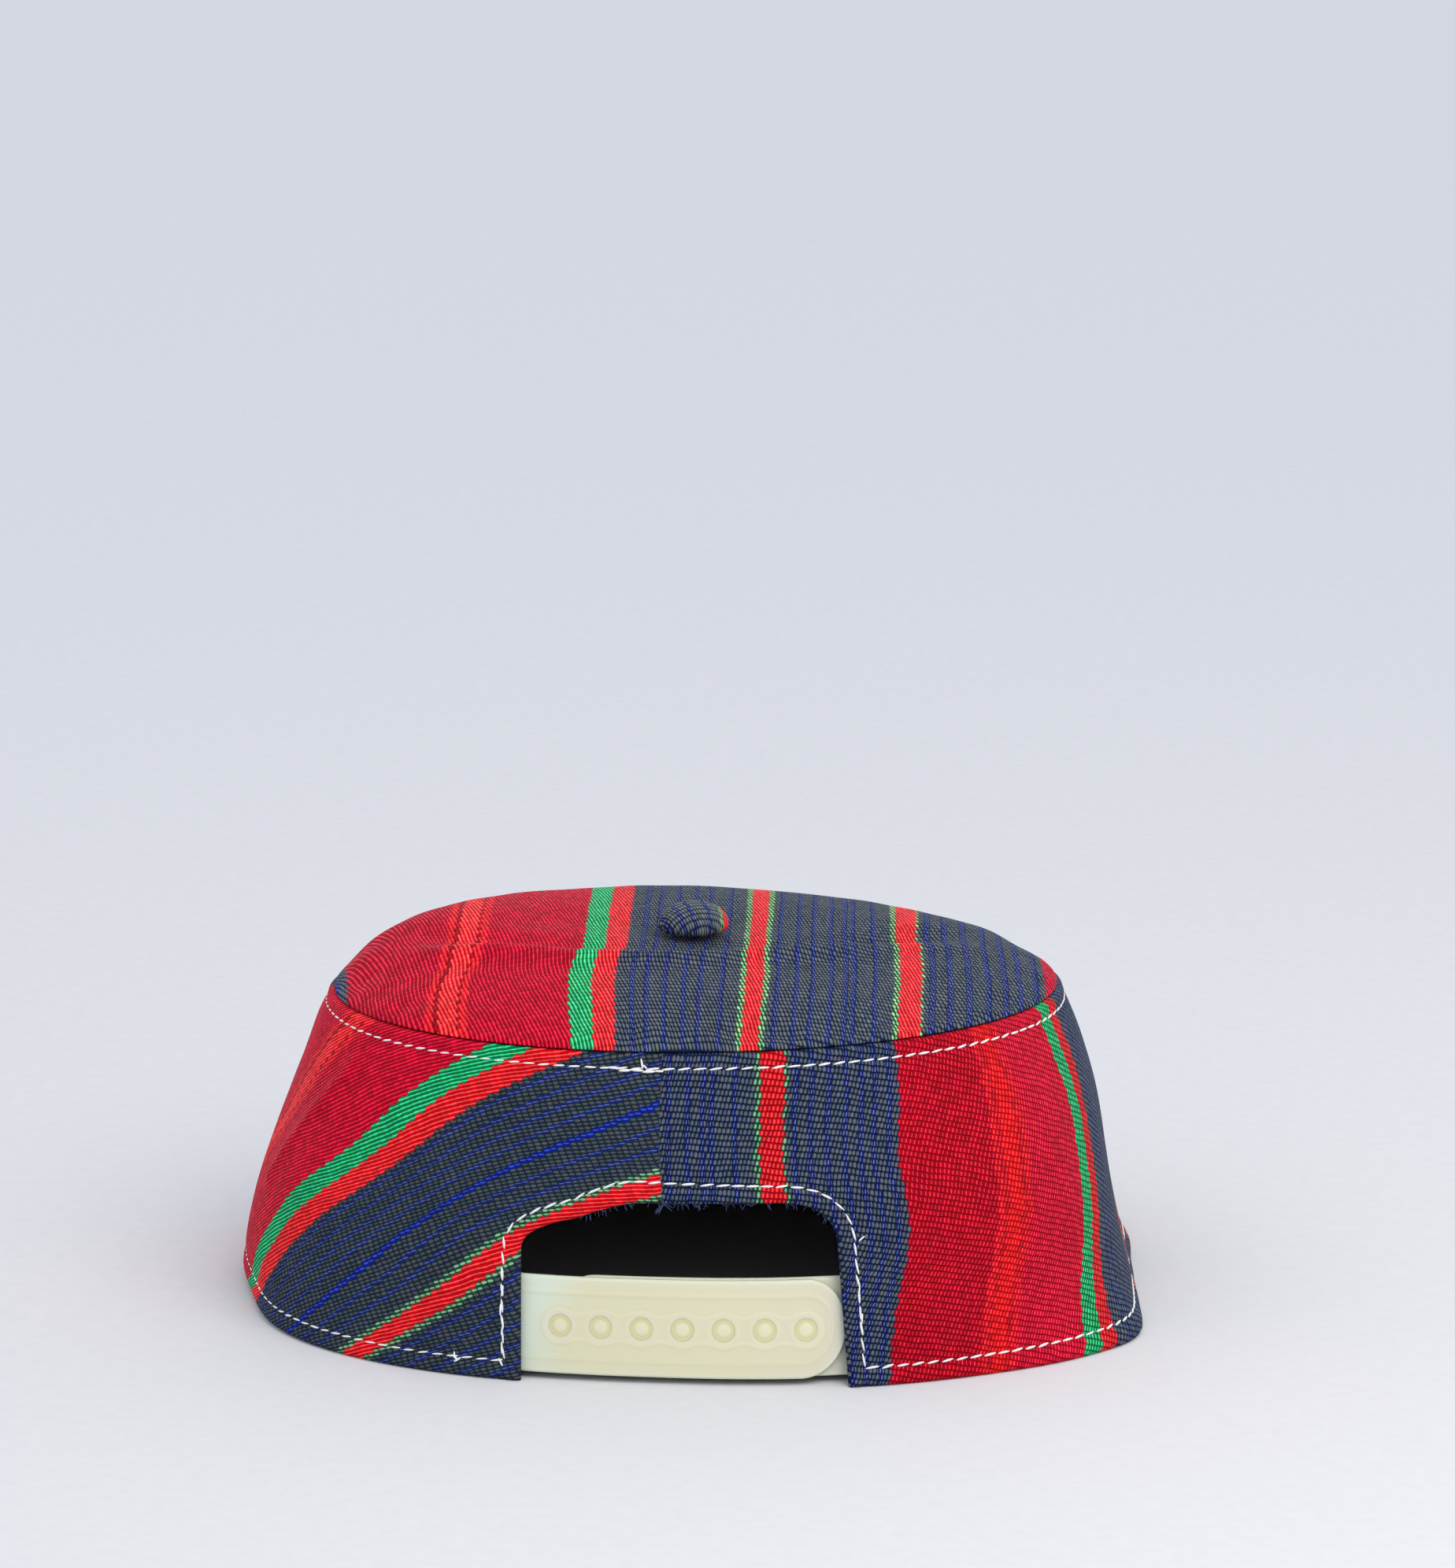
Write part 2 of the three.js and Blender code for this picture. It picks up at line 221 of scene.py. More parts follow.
def angle_from(angle, centre):
    turn = angle - math.radians(centre)
    return math.atan2(math.sin(turn), math.cos(turn))


def signed_power(value, power):
    return math.copysign(abs(value) ** power, value)


def turned_in(distance, radius):
    """How deep a rounded edge lies at a distance inside it."""
    short = max(0.0, radius - distance)
    return radius - math.sqrt(max(0.0, radius**2 - short**2))


def interpolate(value, rows):
    """The second column of rows at a value of the first, which rises."""
    if value <= rows[0][0]:
        return rows[0][1]
    for (start, first), (end, second) in zip(rows, rows[1:]):
        if value <= end:
            return lerp(first, second, (value - start) / (end - start))
    return rows[-1][1]


def oval_point(oval, angle):
    power = 2 / oval.squareness
    x = oval.half_width * signed_power(math.cos(angle), power)
    y = oval.half_depth * signed_power(math.sin(angle), power)
    turn = math.radians(oval.turn)
    return Vector((x * math.cos(turn) - y * math.sin(turn), x * math.sin(turn) + y * math.cos(turn)))


def wall_point(angle, rise, inset=0.0):
    """A point of the band's wall: angle round the hat, rise from hem to seam, depth inside its face."""
    plan = oval_point(RIM, angle).lerp(oval_point(CROWN, angle), rise)
    outward = Vector((plan.x / RIM.half_width**2, plan.y / RIM.half_depth**2)).normalized()
    out = BAND_SWELL * math.sin(math.pi * rise) - inset
    for form in SOFT_FORMS:
        share = bell(angle_from(angle, form.angle), math.radians(form.spread))
        out += form.out * share * bell(rise - form.rise, form.rise_spread)
    plan += outward * out
    lift = HEM_LIFT.height * (1 - rise)
    lift *= bell(angle_from(angle, HEM_LIFT.angle), math.radians(HEM_LIFT.spread))
    return Vector((plan.x, plan.y, BAND_HEIGHT * rise + lift))


def bisect(low, high, past):
    """The value between low and high from which past(value) holds."""
    for _ in range(40):
        middle = (low + high) / 2
        if past(middle):
            high = middle
        else:
            low = middle
    return high


def back_angle(x, rise):
    """The angle at the back of the hat where the wall has this x."""
    return bisect(math.radians(-165), math.radians(-15), lambda angle: wall_point(angle, rise).x >= x)


# Shares of the way round the hat.

def arc_rows():
    rows = []
    for level in range(ARC_LEVELS + 1):
        rise = level / ARC_LEVELS
        start = back_angle(BACK_SEAM_X, rise)
        last = wall_point(start, rise).xy
        runs = [0.0]
        for step in range(1, ARC_STEPS + 1):
            point = wall_point(start + TURN * step / ARC_STEPS, rise).xy
            runs.append(runs[-1] + (point - last).length)
            last = point
        rows.append((start, runs))
    return rows


ARC_ROWS = arc_rows()


def level_share(level, angle, near):
    start, runs = ARC_ROWS[level]
    steps = ((angle - start) / TURN) % 1 * ARC_STEPS
    step = min(int(steps), ARC_STEPS - 1)
    share = lerp(runs[step], runs[step + 1], steps - step) / runs[-1]
    return share - round(share - near)


def share_round(angle, rise, near):
    """Share of the way round from the back seam to the right, the turn of it that is nearest to near."""
    levels = clamp(rise) * ARC_LEVELS
    level = min(int(levels), ARC_LEVELS - 1)
    below = level_share(level, angle, near)
    above = level_share(level + 1, angle, near)
    return lerp(below, above, levels - level)


def front_angle(rise):
    low, high = math.radians(50), math.radians(130)
    return bisect(low, high, lambda angle: share_round(angle, rise, 0.5) >= 0.5)


def cloth_pull(share, rise):
    total = 0.0
    weight = 0.0
    for pull in PULLS:
        near = bell(share - pull.share, PULL_REACH.share) * bell(rise - pull.rise, PULL_REACH.rise)
        total += pull.by * near
        weight += near
    return total / (weight + PULL_REACH.ease)


def band_weave(angle, rise, right):
    """Where a point of the band lies on its woven strip: across the stripes and along them, in mm."""
    share = share_round(angle, rise, 0.25 if right else 0.75)
    reach = CUT.radius - CUT.taper * rise
    sweep = math.radians(CUT.sweep) * (share / 0.5 if right else (share - 0.5) / 0.5)
    across = reach * math.sin(sweep) - cloth_pull(share, rise)
    stripe = interpolate(across, RIGHT_STRIPES) if right else across + LEFT_STRIPES_FROM
    return stripe, reach * math.cos(sweep)


# The edge of the strap opening, as points of the back view.

def curve(start, bend, end):
    """Points of a quadratic curve after its start."""
    points = []
    for step in range(1, CORNER_STEPS + 1):
        share = step / CORNER_STEPS
        points.append(start.lerp(bend, share).lerp(bend.lerp(end, share), share))
    return points


def opening_edge():
    o = OPENING
    left_shoulder = Vector((o.left, o.left_shoulder))
    left_crest = Vector((o.left_crest_at, o.left_crest))
    crest_start = Vector((o.crest_from, o.crest))
    crest_end = Vector((o.crest_to, o.crest))
    right_shoulder = Vector((o.right, o.right_shoulder))
    points = [Vector((o.left_hem, -o.below_hem)), left_shoulder]
    points += curve(left_shoulder, Vector((o.left, o.left_crest - o.left_flatness)), left_crest)
    points += curve(left_crest, Vector((o.crest_from - o.crest_ease, o.crest)), crest_start)
    points.append(crest_end)
    points += curve(crest_end, Vector((o.right, o.crest)), right_shoulder)
    points.append(Vector((o.right_hem, -o.below_hem)))
    return points


EDGE = opening_edge()


def runs_along(points):
    runs = [0.0]
    for start, end in zip(points, points[1:]):
        runs.append(runs[-1] + (end - start).length)
    return runs


def point_at(points, runs, run):
    """The point of a line at a run from its start."""
    for index in range(len(points) - 1):
        if run <= runs[index + 1] or index == len(points) - 2:
            share = (run - runs[index]) / (runs[index + 1] - runs[index])
            return points[index].lerp(points[index + 1], share)


def split_edge():
    """The opening's edge as its left side, its arch and its right side, each side from the hem up."""
    flat = [
        index
        for index in range(len(EDGE) - 1)
        if abs(EDGE[index + 1].x - EDGE[index].x) >= abs(EDGE[index + 1].y - EDGE[index].y)
    ]
    left, right = flat[0], flat[-1] + 1
    return EDGE[: left + 1], EDGE[left : right + 1], EDGE[right:][::-1]


LEFT_SIDE, ARCH, RIGHT_SIDE = split_edge()
ARCH_RUNS = runs_along(ARCH)
LEFT_CORNER = LEFT_SIDE[-1]
RIGHT_CORNER = RIGHT_SIDE[-1]


def side_x(side, height):
    return interpolate(height, [(point.y, point.x) for point in side])


WALL_SLOPE = WALL_RUN / BAND_HEIGHT
SLOPED_EDGE = [Vector((point.x, point.y * WALL_SLOPE)) for point in EDGE]


def distance_to_edge(x, height):
    """Distance along the wall from a point of the back view to the opening's edge."""
    point = Vector((x, height * WALL_SLOPE))
    nearest = FAR_AWAY
    for start, end in zip(SLOPED_EDGE, SLOPED_EDGE[1:]):
        along = end - start
        share = clamp((point - start).dot(along) / along.length_squared)
        nearest = min(nearest, (point - start - along * share).length)
    return nearest


# The band's grid. Its columns run from the opening's right side round to its left side, then over the arch.

def crowded(length, step, at_start, at_end):
    """Shares of a length, close together where an end turns over and about a step apart between."""
    turn = [EDGE_ROUND * (1 - math.cos(math.radians(angle))) for angle in TURN_ANGLES]
    start = turn if at_start else [0.0]
    end = [length - distance for distance in reversed(turn)] if at_end else [length]
    count = max(1, round((end[0] - start[-1]) / step))
    middle = [lerp(start[-1], end[0], index / count) for index in range(1, count)]
    return [distance / length for distance in start + middle + end]


LOW_ROWS = crowded(LEFT_CORNER.y * WALL_SLOPE, BAND_STEP, True, False)
HIGH_ROWS = crowded((BAND_HEIGHT - LEFT_CORNER.y) * WALL_SLOPE, BAND_STEP, True, True)
HALF_GIRTH = (HEM_GIRTH - OPENING.right_hem + OPENING.left_hem) / 2
RIGHT_COLUMNS = crowded(HALF_GIRTH, BAND_STEP, True, False)
LEFT_COLUMNS = crowded(HALF_GIRTH, BAND_STEP, False, True)
SEAM_RUN = next(run for point, run in zip(ARCH, ARCH_RUNS) if point.x >= OPENING.crest_from)
SEAM_RUN += BACK_SEAM_X - OPENING.crest_from
LEFT_ARCH_COLUMNS = crowded(SEAM_RUN, ARCH_STEP, False, False)
RIGHT_ARCH_COLUMNS = crowded(ARCH_RUNS[-1] - SEAM_RUN, ARCH_STEP, False, False)


def band_row(row):
    """Angles and heights of one row where it meets the opening's right side and its left side."""
    if row < len(LOW_ROWS):
        right_height = RIGHT_CORNER.y * LOW_ROWS[row]
        left_height = LEFT_CORNER.y * LOW_ROWS[row]
        right_x = side_x(RIGHT_SIDE, right_height)
        left_x = side_x(LEFT_SIDE, left_height)
        right = back_angle(right_x, right_height / BAND_HEIGHT)
        left = back_angle(left_x, left_height / BAND_HEIGHT)
    else:
        share = HIGH_ROWS[row - len(LOW_ROWS) + 1]
        right_height = lerp(RIGHT_CORNER.y, BAND_HEIGHT, share)
        left_height = lerp(LEFT_CORNER.y, BAND_HEIGHT, share)
        right = back_angle(RIGHT_CORNER.x, RIGHT_CORNER.y / BAND_HEIGHT)
        left = back_angle(LEFT_CORNER.x, LEFT_CORNER.y / BAND_HEIGHT)
    return Sizes(right=right, right_height=right_height, left=left, left_height=left_height)


BAND_ROWS = len(LOW_ROWS) + len(HIGH_ROWS) - 1


def arch_spot(row, run, top_angle):
    """Angle and rise over the arch, at a run along it, on the way up to an angle at the seam."""
    base = point_at(ARCH, ARCH_RUNS, run)
    share = HIGH_ROWS[row - len(LOW_ROWS) + 1]
    base_angle = back_angle(base.x, base.y / BAND_HEIGHT) + TURN
    return lerp(base_angle, top_angle, share), lerp(base.y, BAND_HEIGHT, share) / BAND_HEIGHT


def band_spots():
    """Angle and rise of every crossing of the band's grid, row by row, or None under the arch."""
    seam_top = back_angle(BACK_SEAM_X, 1) + TURN
    grid = []
    for row in range(BAND_ROWS):
        ends = band_row(row)
        front = front_angle((ends.right_height + ends.left_height) / 2 / BAND_HEIGHT)
        spots = []
        for share in RIGHT_COLUMNS:
            height = lerp(ends.right_height, ends.left_height, share / 2)
            spots.append((lerp(ends.right, front, share), height / BAND_HEIGHT))
        for share in LEFT_COLUMNS[1:]:
            height = lerp(ends.right_height, ends.left_height, 0.5 + share / 2)
            spots.append((lerp(front, ends.left + TURN, share), height / BAND_HEIGHT))
        over = row >= len(LOW_ROWS) - 1
        for share in LEFT_ARCH_COLUMNS[1:]:
            top = lerp(ends.left + TURN, seam_top, share)
            spots.append(arch_spot(row, share * SEAM_RUN, top) if over else None)
        for share in RIGHT_ARCH_COLUMNS[1:-1]:
            top = lerp(seam_top, ends.right + TURN, share)
            run = lerp(SEAM_RUN, ARCH_RUNS[-1], share)
            spots.append(arch_spot(row, run, top) if over else None)
        spots.append(spots[0] if over else None)
        grid.append(spots)
    return grid


FRONT_COLUMN = len(RIGHT_COLUMNS) - 1
SEAM_COLUMN = FRONT_COLUMN + len(LEFT_COLUMNS) - 1 + len(LEFT_ARCH_COLUMNS) - 1


# Relief of the band's face.

# Creases from one spot to another: angle and rise of both ends, height and spread in mm.
CREASES = table(
    "start end height spread",
    ((-152, 0.84), (-163, 0.42), 1.1, 3.2),
    ((-112, 0.45), (-135, 0.3), 0.5, 3),
    ((-73, 0.52), (-55, 0.58), 0.55, 3),
    ((-108, 0.5), (-116, 0.72), 0.35, 3.5),
)
MIDDLE_RADIUS = 80


def crease_height(angle, rise):
    point = Vector((angle_from(angle, 0) * MIDDLE_RADIUS, rise * WALL_RUN))
    total = 0.0
    for crease in CREASES:
        start = Vector((math.radians(crease.start[0]) * MIDDLE_RADIUS, crease.start[1] * WALL_RUN))
        end = Vector((math.radians(crease.end[0]) * MIDDLE_RADIUS, crease.end[1] * WALL_RUN))
        along = end - start
        share = (point - start).dot(along) / along.length_squared
        nearest = start + along * clamp(share)
        total += crease.height * bell((point - nearest).length, crease.spread)
    return total


def opening_stitch(x):
    """How far from the opening's edge its stitch line runs."""
    line = OPENING_STITCH
    return line.inside + line.further * bell(x - line.at, line.spread)


def stitched_edge(distance, line):
    puff = EDGE_PUFF.height * bell(distance / line - EDGE_PUFF.at, EDGE_PUFF.spread)
    return puff - STITCH_GROOVE.depth * bell(distance - line, STITCH_GROOVE.spread)


def seam_relief(distance):
    puff = SEAM_GROOVE.puff * bell(distance - SEAM_GROOVE.puff_at, SEAM_GROOVE.puff_spread)
    return puff - SEAM_GROOVE.depth * bell(distance, SEAM_GROOVE.spread)


def wrinkles(point, sizes):
    return sum(height * noise.noise(point / grain) for grain, height in sizes)


class BandSpot:
    """One crossing of the band's grid, with its distance from the nearest edge and its relief."""

    def __init__(self, angle, rise):
        self.angle = angle
        self.rise = rise
        flat = wall_point(angle, rise)
        below_seam = (1 - rise) * WALL_RUN
        above_hem = rise * WALL_RUN
        by_opening = FAR_AWAY
        if flat.y < 0 and abs(flat.x) < NEAR_OPENING.reach and rise < NEAR_OPENING.rise:
            by_opening = distance_to_edge(flat.x, flat.z)
        self.edge = min(below_seam, above_hem, by_opening)
        share = share_round(angle, rise, 0.25)
        from_seam = min(abs(share), abs(share - 0.5)) * lerp(HEM_GIRTH, SEAM_GIRTH, rise)
        self.form = crease_height(angle, rise) + wrinkles(flat, BAND_WRINKLES)
        self.face = stitched_edge(below_seam, SEAM_STITCH) + stitched_edge(above_hem, HEM_STITCH)
        self.face += stitched_edge(by_opening, opening_stitch(flat.x)) + seam_relief(from_seam)
        self.form *= smoothstep(self.edge, 0, BAND_EASE.dents)
        self.face *= smoothstep(self.edge, 0, BAND_EASE.face)

    def place(self, behind):
        """The spot on the band's face, or on the back of its cloth."""
        turned = turned_in(self.edge, EDGE_ROUND)
        if behind:
            return wall_point(self.angle, self.rise, BAND_CLOTH - turned - self.form)
        return wall_point(self.angle, self.rise, turned - self.form - self.face)


# Making of pieces.

def grid_sheet(bm, columns, rows, place):
    """A grid of faces whose crossings go where place(column, row) says, and are left out at None."""
    made = bmesh.ops.create_grid(bm, x_segments=columns, y_segments=rows, size=0.5)
    spots = {}
    empty = []
    for vert in made["verts"]:
        column = round((vert.co.x + 0.5) * columns)
        row = round((vert.co.y + 0.5) * rows)
        point = place(column, row)
        if point is None:
            empty.append(vert)
        else:
            vert.co = point
            spots[vert] = (column, row)
    bmesh.ops.delete(bm, geom=empty, context="VERTS")
    return spots


def finished(name, bm, materials, weld=0.02):
    """A smooth object on the root body, its points taken from millimetres to their place in metres."""
    bmesh.ops.remove_doubles(bm, verts=bm.verts, dist=weld)
    bmesh.ops.recalc_face_normals(bm, faces=bm.faces)
    bmesh.ops.translate(bm, verts=bm.verts, vec=CENTRING)
    bmesh.ops.scale(bm, verts=bm.verts, vec=(METRES, METRES, METRES))
    for face in bm.faces:
        face.smooth = True
    mesh = bpy.data.meshes.new(name)
    bm.to_mesh(mesh)
    bm.free()
    for material in materials:
        mesh.materials.append(material)
    obj = bpy.data.objects.new(name, mesh)
    bpy.context.scene.collection.objects.link(obj)
    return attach(obj, "root")


FACE, LINING, RIGHT_FACE = 0, 1, 2


def lay_band_weave(spots, grid, weave, behind):
    """Gives one side of the band's cloth its materials and its place on the woven strips."""
    known = {}
    for face in {face for vert in spots for face in vert.link_faces}:
        corners = [spots[vert] for vert in face.verts]
        column = min(corner[0] for corner in corners)
        right = column < FRONT_COLUMN or column >= SEAM_COLUMN
        first_column, first_row = corners[0]
        inside = behind and grid[first_row][first_column].edge > TURNED_IN
        face.material_index = LINING if inside else RIGHT_FACE if right else FACE
        for loop, (column, row) in zip(face.loops, corners):
            key = (column, row, right)
            if key not in known:
                spot = grid[row][column]
                known[key] = band_weave(spot.angle, spot.rise, right)
            loop[weave].uv = known[key]


def band_side(grid, behind, column, row):
    spot = grid[row][column]
    return spot and spot.place(behind)


def band_cloth(materials):
    """The side band: its striped face, turned over at every edge to a black lining whose near-black is
    partly painted shade.
    """
    grid = [[spot and BandSpot(*spot) for spot in row] for row in band_spots()]
    bm = bmesh.new()
    weave = bm.loops.layers.uv.new("weave")
    for behind in (False, True):
        spots = grid_sheet(bm, len(grid[0]) - 1, BAND_ROWS - 1, partial(band_side, grid, behind))
        lay_band_weave(spots, grid, weave, behind)
    return finished("side_band_cloth", bm, materials)


# The top panel.

def panel_radius(x, y):
    turn = math.radians(CROWN.turn)
    across = abs(x * math.cos(turn) + y * math.sin(turn)) / (CROWN.half_width - PANEL_EDGE_STEP)
    along = abs(y * math.cos(turn) - x * math.sin(turn)) / (CROWN.half_depth - PANEL_EDGE_STEP)
    power = CROWN.squareness
    return min(1.0, (across**power + along**power) ** (1 / power))


def dome_height(x, y):
    """Height of the top panel's face over its edge, as in the frame."""
    radius = panel_radius(x, y)
    near = 1 - radius**DOME.near_power
    far = (1 - radius**DOME.far_power) ** DOME.far_softness
    blend = smoothstep(y, DOME.blend_from, DOME.blend_to)
    full = DOME.height - DOME.lean * x / CROWN.half_width
    fade = 1 - smoothstep(radius, CREASE_FADE.start, CREASE_FADE.end)
    ridge = RIDGE.height * bell(y - RIDGE.at, RIDGE.spread)
    hollow = HOLLOW.depth * bell(y - HOLLOW.at, HOLLOW.spread)
    return full * lerp(near, far, blend) + fade * (ridge - hollow)


def panel_relief(x, y):
    """The crest that stands up in front of the button, soft dents, and puckers along the seam."""
    point = Vector((x, y, 0))
    radius = panel_radius(x, y)
    past = y - interpolate(x, CREST_LINE)
    crest = CREST.height * bell(past, CREST.spread)
    crest -= CREST.dip * bell(past - CREST.dip_after, CREST.dip_spread)
    crest *= 1 - smoothstep(abs(x), CREST.reach, CREST.reach + CREST.fade)
    from_edge = (1 - radius) * CROWN.half_depth
    way = point.normalized() * PUCKER.grain
    pucker = noise.noise(Vector((way.x, way.y, from_edge / PUCKER.length)))
    pucker *= PUCKER.height * bell(from_edge - PUCKER.at, PUCKER.spread)
    dents = wrinkles(point, PANEL_WRINKLES) * smoothstep(from_edge, 0, PANEL_EASE.dents)
    return dents + (crest + pucker) * smoothstep(from_edge, 0, PANEL_EASE.crest)


def panel_pull(x, y):
    """How far the cloth at a point of the panel has been pulled to the right."""
    columns = range(1, len(PULLED_AT) + 1)
    edge, left, *rest = (
        interpolate(y, [(row[0], row[column]) for row in PANEL_PULLS]) for column in columns
    )
    places = (PULLED_AT[0], PULLED_EVENLY_FROM, *PULLED_AT[1:])
    return interpolate(x, list(zip(places, (edge, left, left, *rest))))


def panel_point(angle, share, step, drop):
    edge = oval_point(CROWN, angle)
    plan = edge * (share * (1 - step / edge.length))
    height = PANEL_FACE + dome_height(plan.x, plan.y) + panel_relief(plan.x, plan.y)
    return Vector((plan.x, plan.y, height - drop))


def at_height(point, height):
    return Vector((point.x, point.y, height))


def panel_edge_point(angle, step, height):
    return at_height(panel_point(angle, 1, step, 0), height)


def ring_body(bm, rings, around):
    """A closed body from rings round the hat, each a function of the angle."""

    def place(column, row):
        return rings[row](TURN * (column % around) / around)

    return grid_sheet(bm, around, len(rings) - 1, place)


def panel_rings():
    """The panel's rings: under the dome, round the folded edge, and over the dome."""
    fold_face = BAND_CLOTH + GAP
    fold_back = fold_face + PANEL_CLOTH
    fold_end = 1 - SEAM_ALLOWANCE / BAND_HEIGHT
    quarter = math.pi / 2
    shares = [math.sin(ring / PANEL_RINGS.under * quarter) for ring in range(PANEL_RINGS.under)]
    shares.append(PANEL_RINGS.last_under)
    under = [partial(panel_point, share=share, step=fold_back, drop=PANEL_CLOTH) for share in shares]
    fold = [
        partial(wall_point, rise=fold_end, inset=fold_back),
        partial(wall_point, rise=fold_end, inset=fold_face),
        lambda angle: at_height(wall_point(angle, 1, fold_face), PANEL_FLOOR),
    ]
    for turn in TURN_ANGLES[:-1]:
        step = PANEL_EDGE_STEP + PANEL_SHOULDER * (1 - math.cos(math.radians(turn)))
        height = PANEL_FLOOR + PANEL_SHOULDER * math.sin(math.radians(turn))
        fold.append(partial(panel_edge_point, step=step, height=height))
    step = PANEL_EDGE_STEP + PANEL_SHOULDER
    shares = [math.cos(ring / PANEL_RINGS.face * quarter) for ring in range(PANEL_RINGS.face + 1)]
    face = [partial(panel_point, share=share, step=step, drop=0) for share in shares]
    return under, fold, face


def lay_panel_weave(bm):
    """Lays the woven strip over the panel, its stripes running from back to front."""
    weave = bm.loops.layers.uv.new("weave")
    for vert in bm.verts:
        x, y, _ = vert.co
        across = PANEL_STRIPES_FROM + x - panel_pull(x, y)
        for loop in vert.link_loops:
            loop[weave].uv = (across, y)


def panel_cloth(materials):
    bm = bmesh.new()
    under, fold, face = panel_rings()
    spots = ring_body(bm, under + fold + face, PANEL_AROUND)
    lay_panel_weave(bm)
    for piece in bm.faces:
        if max(spots[vert][1] for vert in piece.verts) < len(under):
            piece.material_index = LINING
    return finished("top_panel_cloth", bm, materials)


# The covered button.

# Where the button's middle lies in the repeat (mm), and how its cloth is stretched, draped and turned.
BUTTON_STRIPES_FROM = 76.2
BUTTON_STRETCH = 1.2
BUTTON_DRAPE = 0.45
BUTTON_TILT = -17
BUTTON_GATHERS = Sizes(count=19, depth=0.22, top=2.6, inner=4, outer=6)
BUTTON_UNDERSIDE = -80


def button_seat():
    highest = max(
        dome_height(BUTTON.x + radius * math.cos(angle), BUTTON.y + radius * math.sin(angle))
        for radius in (0, BUTTON.radius / 2, BUTTON.radius)
        for angle in (TURN * step / 24 for step in range(24))
    )
    return PANEL_FACE + highest + GAP


BUTTON_SEAT = button_seat()


def button_profile():
    """Radius and height over the seat, from the disc inside the hat up to the button's top."""
    under_panel = PANEL_FACE + dome_height(BUTTON.x, BUTTON.y) - PANEL_CLOTH - BUTTON_SEAT
    disc_top = under_panel - BUTTON_DISC.clearance
    disc_low = disc_top - BUTTON_DISC.thickness
    profile = [(0, disc_low), (BUTTON_DISC.radius, disc_low), (BUTTON_DISC.radius, disc_top)]
    profile += [(SHANK.radius, disc_top), (SHANK.radius, 0), (SHANK.radius + SHANK.seat, 0)]
    inner = BUTTON.radius - BUTTON.edge
    for step in range(BUTTON_STEPS.edge + 1):
        turn = math.radians(lerp(BUTTON_UNDERSIDE, 0, step / BUTTON_STEPS.edge))
        profile.append((inner + BUTTON.edge * math.cos(turn), BUTTON.edge * (1 + math.sin(turn))))
    for step in range(1, BUTTON_STEPS.crown + 1):
        turn = math.radians(90 * step / BUTTON_STEPS.crown)
        rise = (BUTTON.height - BUTTON.edge) * math.sin(turn)
        profile.append((BUTTON.radius * math.cos(turn), BUTTON.edge + rise))
    return profile


def button_point(angle, radius, height):
    """A point of the button, whose cloth is gathered round its lower edge."""
    gathers = BUTTON_GATHERS
    gather = gathers.depth * math.sin(gathers.count * angle)
    gather *= clamp(1 - height / gathers.top) * smoothstep(radius, gathers.inner, gathers.outer)
    reach = radius + gather
    x = BUTTON.x + reach * math.cos(angle)
    y = BUTTON.y + reach * math.sin(angle)
    return Vector((x, y, BUTTON_SEAT + height))


def lay_button_weave(bm):
    """Lays the woven strip over the button, as far out as the cloth falls over its edge."""
    weave = bm.loops.layers.uv.new("weave")
    tilt = Matrix.Rotation(math.radians(BUTTON_TILT), 2)
    for face in bm.faces:
        for loop in face.loops:
            flat = tilt @ (loop.vert.co.xy - Vector((BUTTON.x, BUTTON.y)))
            fall = BUTTON_DRAPE * max(0.0, BUTTON.height - (loop.vert.co.z - BUTTON_SEAT))
            flat += flat.normalized() * fall
            loop[weave].uv = (BUTTON_STRIPES_FROM + flat.x * BUTTON_STRETCH, flat.y)


def button_cloth(materials):
    bm = bmesh.new()
    profile = button_profile()
    rings = [partial(button_point, radius=radius, height=height) for radius, height in profile]
    ring_body(bm, rings, BUTTON_AROUND)
    lay_button_weave(bm)
    return finished("top_button_cloth", bm, materials)


# Snap straps.

def back_runs():
    rows = []
    run = 0.0
    last = None
    for step in range(BACK.steps + 1):
        angle = math.radians(lerp(BACK.start, BACK.end, step / BACK.steps))
        point = wall_point(angle, STRAP_MIDDLE / BAND_HEIGHT, OUTER_FACE)
        run += (point - last).length if last else 0.0
        last = point
        rows.append((run, angle, point.x))
    middle = next(row[0] for row in rows if row[2] >= 0)
    return [(run - middle, angle) for run, angle, _ in rows]


BACK_RUNS = back_runs()


def strap_angle(run):
    steps = (run - BACK_RUNS[0][0]) / (BACK_RUNS[-1][0] - BACK_RUNS[0][0]) * BACK.steps
    index = min(BACK.steps - 1, max(0, int(steps)))
    while BACK_RUNS[index + 1][0] < run:
        index += 1
    while BACK_RUNS[index][0] > run:
        index -= 1
    (start, first), (end, second) = BACK_RUNS[index], BACK_RUNS[index + 1]
    return lerp(first, second, (run - start) / (end - start))


SNAP_RUNS = [SNAP.first + index * SNAP.pitch for index in range(SNAP.count)]
# Each peg with the collar that fills its hole: radius, and height over the outer strap's face (mm).
PEG_PROFILE = [
    (0, -2.3), (2.24, -2.3), (2.24, -0.01), (2, -0.04), (1.7, -0.06), (1.45, -0.05), (1.25, 0),
    (1, 0.05), (0.6, 0.07), (0, 0.07),
]
PEG_AROUND = 24
# How round the edges of the straps and of their holes are (mm).
STRAP_ROUND = 0.4
HOLE_ROUND = 0.02
# Boundary vertices up to this far round a hole are its own (mm).
HOLE_MARGIN = 1
# Edges whose faces meet at more than this angle are shaded sharp.
CRISP_FROM = 55
STRAP_GRID = Sizes(step=0.42, rows=44, crowding=0.18 / math.pi)
